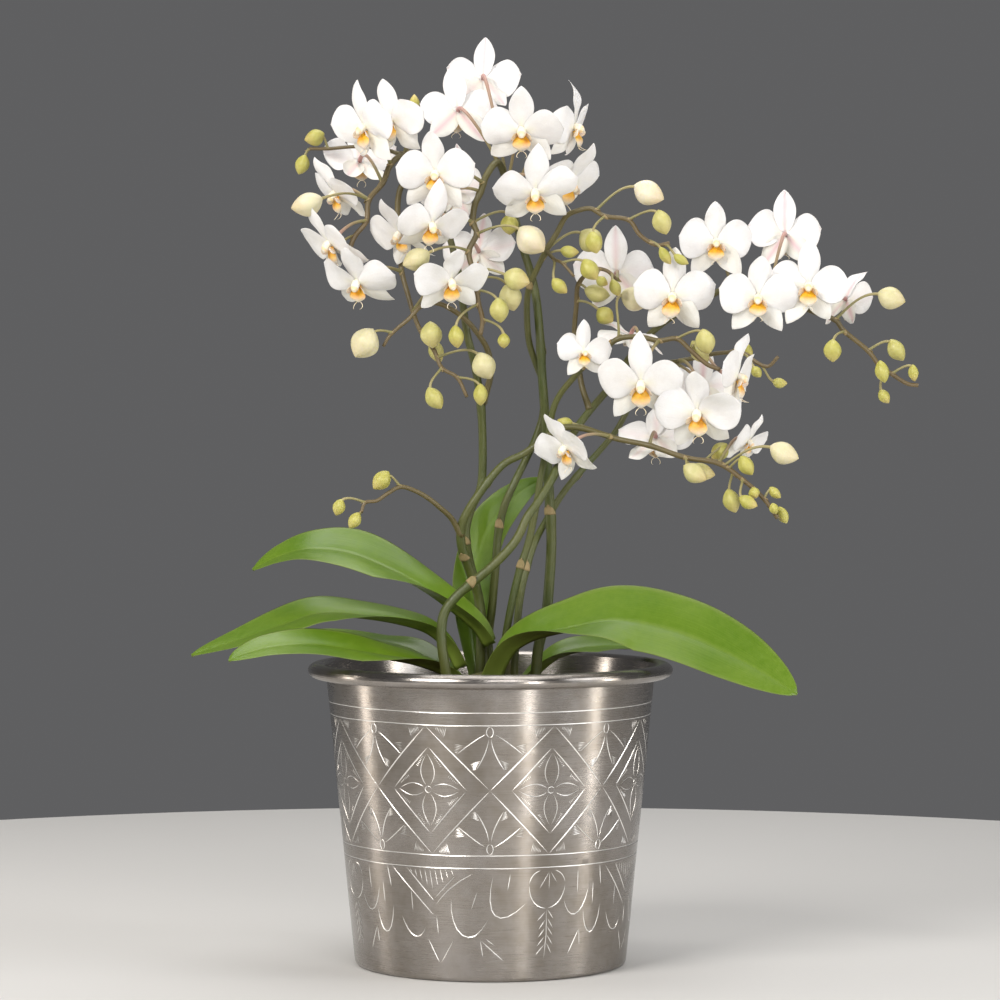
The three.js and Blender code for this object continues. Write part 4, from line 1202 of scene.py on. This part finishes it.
let_light_in(shader, 0.35, (1.0, 0.9, 0.75), 0.0015)
shader.inputs["Sheen Weight"].default_value = 0.15
fibre = add_node(tree, "CombineXYZ")
tree.links.new(sums(tree, "MULTIPLY", along, 3.0), fibre.inputs["X"])
tree.links.new(sums(tree, "MULTIPLY", across, 16.0), fibre.inputs["Y"])
fibres = add_node(tree, "TexNoise", noise_dimensions="2D", Scale=1.0, Detail=2.0)
tree.links.new(fibre.outputs[0], fibres.inputs["Vector"])
raised(tree, shader, fibres.outputs["Fac"], 0.0002, 0.6)

lip_skin, tree, shader = surface("lip_skin")
along, across = measured(tree, "along"), measured(tree, "across")
blotch = mottled(tree, (0.87, 0.85, 0.80), (0.86, 0.80, 0.60), 260.0, 1800.0)
golden = mottled(tree, (0.90, 0.55, 0.015), (0.82, 0.34, 0.01), 320.0, 1800.0)
shade = blend_colours(tree, measured(tree, "tone"), blotch.outputs["Color"], golden.outputs["Color"])
bars = add_node(tree, "TexWave", wave_type="BANDS", bands_direction="X", Scale=5.0, Distortion=2.5,
                Detail=1.0)
flat = add_node(tree, "CombineXYZ")
tree.links.new(sums(tree, "MULTIPLY", along, 1.6), flat.inputs["X"])
tree.links.new(sums(tree, "MULTIPLY", across, 0.6), flat.inputs["Y"])
tree.links.new(flat.outputs[0], bars.inputs["Vector"])
stripes = ranged(tree, bars.outputs["Fac"], 0.55, 0.8, 0.0, 0.8)
striped = sums(tree, "MULTIPLY", stripes, measured(tree, "blush"))
tree.links.new(blend_colours(tree, striped, shade, (0.33, 0.075, 0.035)), shader.inputs["Base Color"])
tree.links.new(grained(tree, golden, 0.3, 0.45), shader.inputs["Roughness"])
let_light_in(shader, 0.25, (1.0, 0.8, 0.5), 0.001)
raised(tree, shader, golden.outputs["Fine"], 0.0002)

tepals = (
    {"angle": 90, "length": 22.0, "half": 5.4, "base": 0.22, "early": 0.95, "full": 0.8, "back": 0.10},
    {"angle": 232, "length": 19.5, "half": 5.2, "base": 0.30, "early": 0.80, "full": 0.85, "back": 0.14},
    {"angle": 308, "length": 19.5, "half": 5.2, "base": 0.30, "early": 0.80, "full": 0.85, "back": 0.12},
    {"angle": 168, "length": 19.0, "half": 9.8, "base": 0.18, "early": 1.15, "full": 0.66, "back": 0.62},
    {"angle": 372, "length": 19.0, "half": 9.8, "base": 0.18, "early": 1.15, "full": 0.66, "back": 0.66},
)


def seat(centre, forward, size, turn=0.0):
    """Takes a point of a flower lying face up, dorsal sepal along +Y, to its place on the plant."""
    up = Vector((0, 0, 1))
    up = Quaternion(forward, turn) @ (up - forward * up.dot(forward)).normalized()
    right = up.cross(forward)
    return lambda x, y, z: centre + (right * x + up * y + forward * z) * size


for number, (name, (_, to, face, size)) in enumerate(blooms):
    chance = random.Random(700 + number)
    put = seat(Vector(to), facing(face), size, math.radians(chance.gauss(0, 3)))
    shape = bmesh.new()
    opening = chance.gauss(0.0, 0.12)
    for rank, tepal in enumerate(tepals):
        angle_out = math.radians(tepal["angle"] + chance.gauss(0, 3.5))
        ahead = Vector((math.cos(angle_out), math.sin(angle_out)))
        aside = Vector((-ahead.y, ahead.x))
        length = tepal["length"] * chance.uniform(0.95, 1.04)
        half = tepal["half"] * chance.uniform(0.94, 1.05)
        cup, droop = opening + chance.gauss(0, 0.13), chance.uniform(-0.10, 0.16)
        edge_roll, waves = chance.gauss(-0.05, 0.10), chance.uniform(0.2, 1.1)
        phase, twist, tip_back = chance.uniform(0, math.tau), chance.gauss(0, 0.16), chance.uniform(0.0, 3.2)
        petal = rank > 2

        def place(t, angle):
            c, s = math.cos(angle), math.sin(angle)
            outline = tepal["base"] * (1 - t) ** 2 + math.sin(math.pi * t ** tepal["early"]) ** tepal["full"]
            spread = half * max(0.02, outline) * c
            reach = length * (1 - (1 - t) ** 1.15) - (0.6 * t * c * c if petal else 0)
            body = (0.62 - 0.42 * t) * (1 - c * c) ** 0.5 * (1 if abs(c) < 0.98 else 0.4)
            lift = tepal["back"] + length * t * t * cup - tip_back * t ** 5
            lift += edge_roll * spread * abs(spread) / half * math.copysign(1, c) * 1.6 + droop * spread
            lift += waves * math.sin(9 * t + phase + 2 * c) * c * c * math.sin(math.pi * t)
            lift += twist * spread * t
            lift += (0.6 if petal else -0.9) * abs(c) * math.sin(math.pi * min(1, t * 1.3)) * 0.7
            flat_point = ahead * (1.2 + reach) + aside * spread
            return put(flat_point.x, flat_point.y, lift + body * (s * 0.5 + 0.25))

        lower = rank in (1, 2)
        grow(shape, 24, 20, place, tone=(0.75 if lower else 0.12) * chance.uniform(0.7, 1.0),
             blush=chance.uniform(0.35, 0.9) * (0.35 if petal else 1.0))

    def hub(t, angle):
        out = 2.4 * math.cos(t * math.pi / 2) ** 0.6 + 0.1
        return put(out * math.cos(angle), out * math.sin(angle), 0.05 + 0.95 * t)

    grow(shape, 16, 4, hub, tone=0.3, blush=0.4)
    bloom = shape_to_piece(name.replace("flower", "bloom"), shape, tepal_skin)
    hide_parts(name)

    # The lip and column. The lip is three-lobed, with a warty callus and two curled threads at
    # its tip. The column above it ends in the cap over the pollen.
    shape = bmesh.new()
    gape, sway = chance.uniform(0.85, 1.15), chance.gauss(0, 0.4)

    def midlobe(t, angle):
        c, s = math.cos(angle), math.sin(angle)
        wide = (1.2 + 4.0 * math.sin(math.pi * t ** 1.25) ** 0.9) * (1 - 0.35 * t) + 0.15
        curve = 1.6 + 4.2 * math.sin(2.1 * t) - 0.9 * c * c + 0.32 * s
        return put(wide * c + sway * t, -1.4 - 7.6 * t * gape, curve)

    grow(shape, 18, 12, midlobe, tone=lambda t: min(1.0, max(0.0, 1.75 - 2.1 * t)), blush=0.45)
    for hand_side in (-1, 1):
        def side_lobe(t, angle):
            c, s = math.cos(angle), math.sin(angle)
            wide = 0.5 + 2.0 * math.sin(math.pi * t ** 0.9) ** 0.8
            x = hand_side * (1.3 + 3.4 * math.sin(1.5 * t) + 0.2 * s)
            return put(x, -1.6 - 1.0 * t + wide * c * 0.9, 1.6 + 4.4 * t + wide * c * 0.35 - 0.8 * t * t)

        grow(shape, 14, 10, side_lobe, tone=lambda t: 0.9 * max(0.0, 1 - 2.2 * t), blush=0.8)

        def thread(t, angle):
            curl_out = 2.6 * t
            radius = 0.26 - 0.16 * t
            x = hand_side * (0.5 + 2.3 * math.sin(curl_out) * 0.8)
            y = -1.4 - 7.4 * gape - 1.4 * math.sin(curl_out * 0.8)
            z = 1.6 + 3.6 + 2.2 * (1 - math.cos(curl_out))
            return put(x + sway + radius * math.cos(angle), y + radius * math.sin(angle) * 0.7,
                       z + radius * math.sin(angle) * 0.7)

        grow(shape, 6, 8, thread, tone=0.25, blush=0.0)

    def callus(t, angle):
        out = 1.25 * math.sin(math.pi * (0.12 + 0.8 * t)) ** 0.6
        return put(out * math.cos(angle), -2.1 + out * math.sin(angle), 2.0 + 2.0 * t)

    grow(shape, 12, 5, callus, tone=1.0, blush=0.35)

    def column(t, angle):
        cap = 1 if t < 0.86 else 1 - (t - 0.86) * 3.2
        out = (1.7 + 0.6 * math.sin(math.pi * t) - 0.15 * t) * cap
        return put(out * math.cos(angle) * 0.92, 0.9 + out * math.sin(angle) - 0.9 * t, 0.5 + 5.8 * t)

    grow(shape, 16, 10, column, tone=lambda t: 0.45 if 0.78 < t < 0.92 else 0.06, blush=0.0)
    lip = shape_to_piece(name.replace("flower", "lip"), shape, lip_skin)
    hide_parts(name)


# The setting: a pale floor, a plain grey room, and soft lamps round a studio.
floor_shape = bmesh.new()
bmesh.ops.create_circle(floor_shape, cap_ends=True, segments=128, radius=0.75)
floor_mesh = bpy.data.meshes.new("floor")
floor_shape.to_mesh(floor_mesh)
floor_shape.free()
floor_paint, tree, shader = surface("floor_paint")
shader.inputs["Base Color"].default_value = (0.60, 0.59, 0.575, 1)
shader.inputs["Roughness"].default_value = 0.6
floor_mesh.materials.append(floor_paint)
floor = bpy.data.objects.new("floor", floor_mesh)
bpy.context.scene.collection.objects.link(floor)

room = bpy.data.worlds.new("room")
room.use_nodes = True
room.node_tree.nodes["Background"].inputs["Color"].default_value = (0.115, 0.115, 0.118, 1)
room.node_tree.nodes["Background"].inputs["Strength"].default_value = 1.0
bpy.context.scene.world = room


def lamp(name, place, size, power, colour, target=(0, 0, 0.2)):
    """A soft rectangular lamp that faces the plant."""
    light = bpy.data.lights.new(name, "AREA")
    light.shape = "RECTANGLE"
    light.size, light.size_y = size
    light.energy = power
    light.color = colour
    rig = bpy.data.objects.new(name, light)
    rig.location = place
    rig.rotation_euler = (Vector(target) - Vector(place)).to_track_quat("-Z", "Y").to_euler()
    bpy.context.scene.collection.objects.link(rig)


lamp("key", (-0.95, -1.2, 1.2), (0.8, 0.8), 30, (1.0, 0.97, 0.93))
lamp("front", (0.35, -1.9, 0.95), (0.9, 0.7), 14, (1.0, 0.985, 0.97))
lamp("fill", (1.5, -0.7, 0.8), (0.7, 1.0), 9, (0.95, 0.97, 1.0))
lamp("top", (0.1, 0.3, 1.5), (1.1, 1.1), 13, (1.0, 0.99, 0.97))
lamp("strip_middle", (0.62, -1.25, 0.16), (0.10, 0.5), 3.4, (1.0, 0.97, 0.93), (0, 0, 0.09))
lamp("strip_right", (1.1, -0.25, 0.2), (0.12, 0.7), 3.0, (1.0, 0.96, 0.9), (0, 0, 0.09))
lamp("strip_left", (-1.0, 0.1, 0.2), (0.14, 0.7), 2.2, (1.0, 0.93, 0.85), (0, 0, 0.09))

eye = bpy.data.cameras.new("eye")
eye.sensor_width = 36
eye.lens = 138.46
eye.clip_start = 0.05
camera = bpy.data.objects.new("eye", eye)
eye_tilt = 1.62
camera.location = (0.005, -2.0, 0.298)
camera.rotation_euler = (math.radians(90 - eye_tilt), 0, 0)
bpy.context.scene.collection.objects.link(camera)
bpy.context.scene.camera = camera
bpy.context.scene.view_settings.view_transform = "Standard"
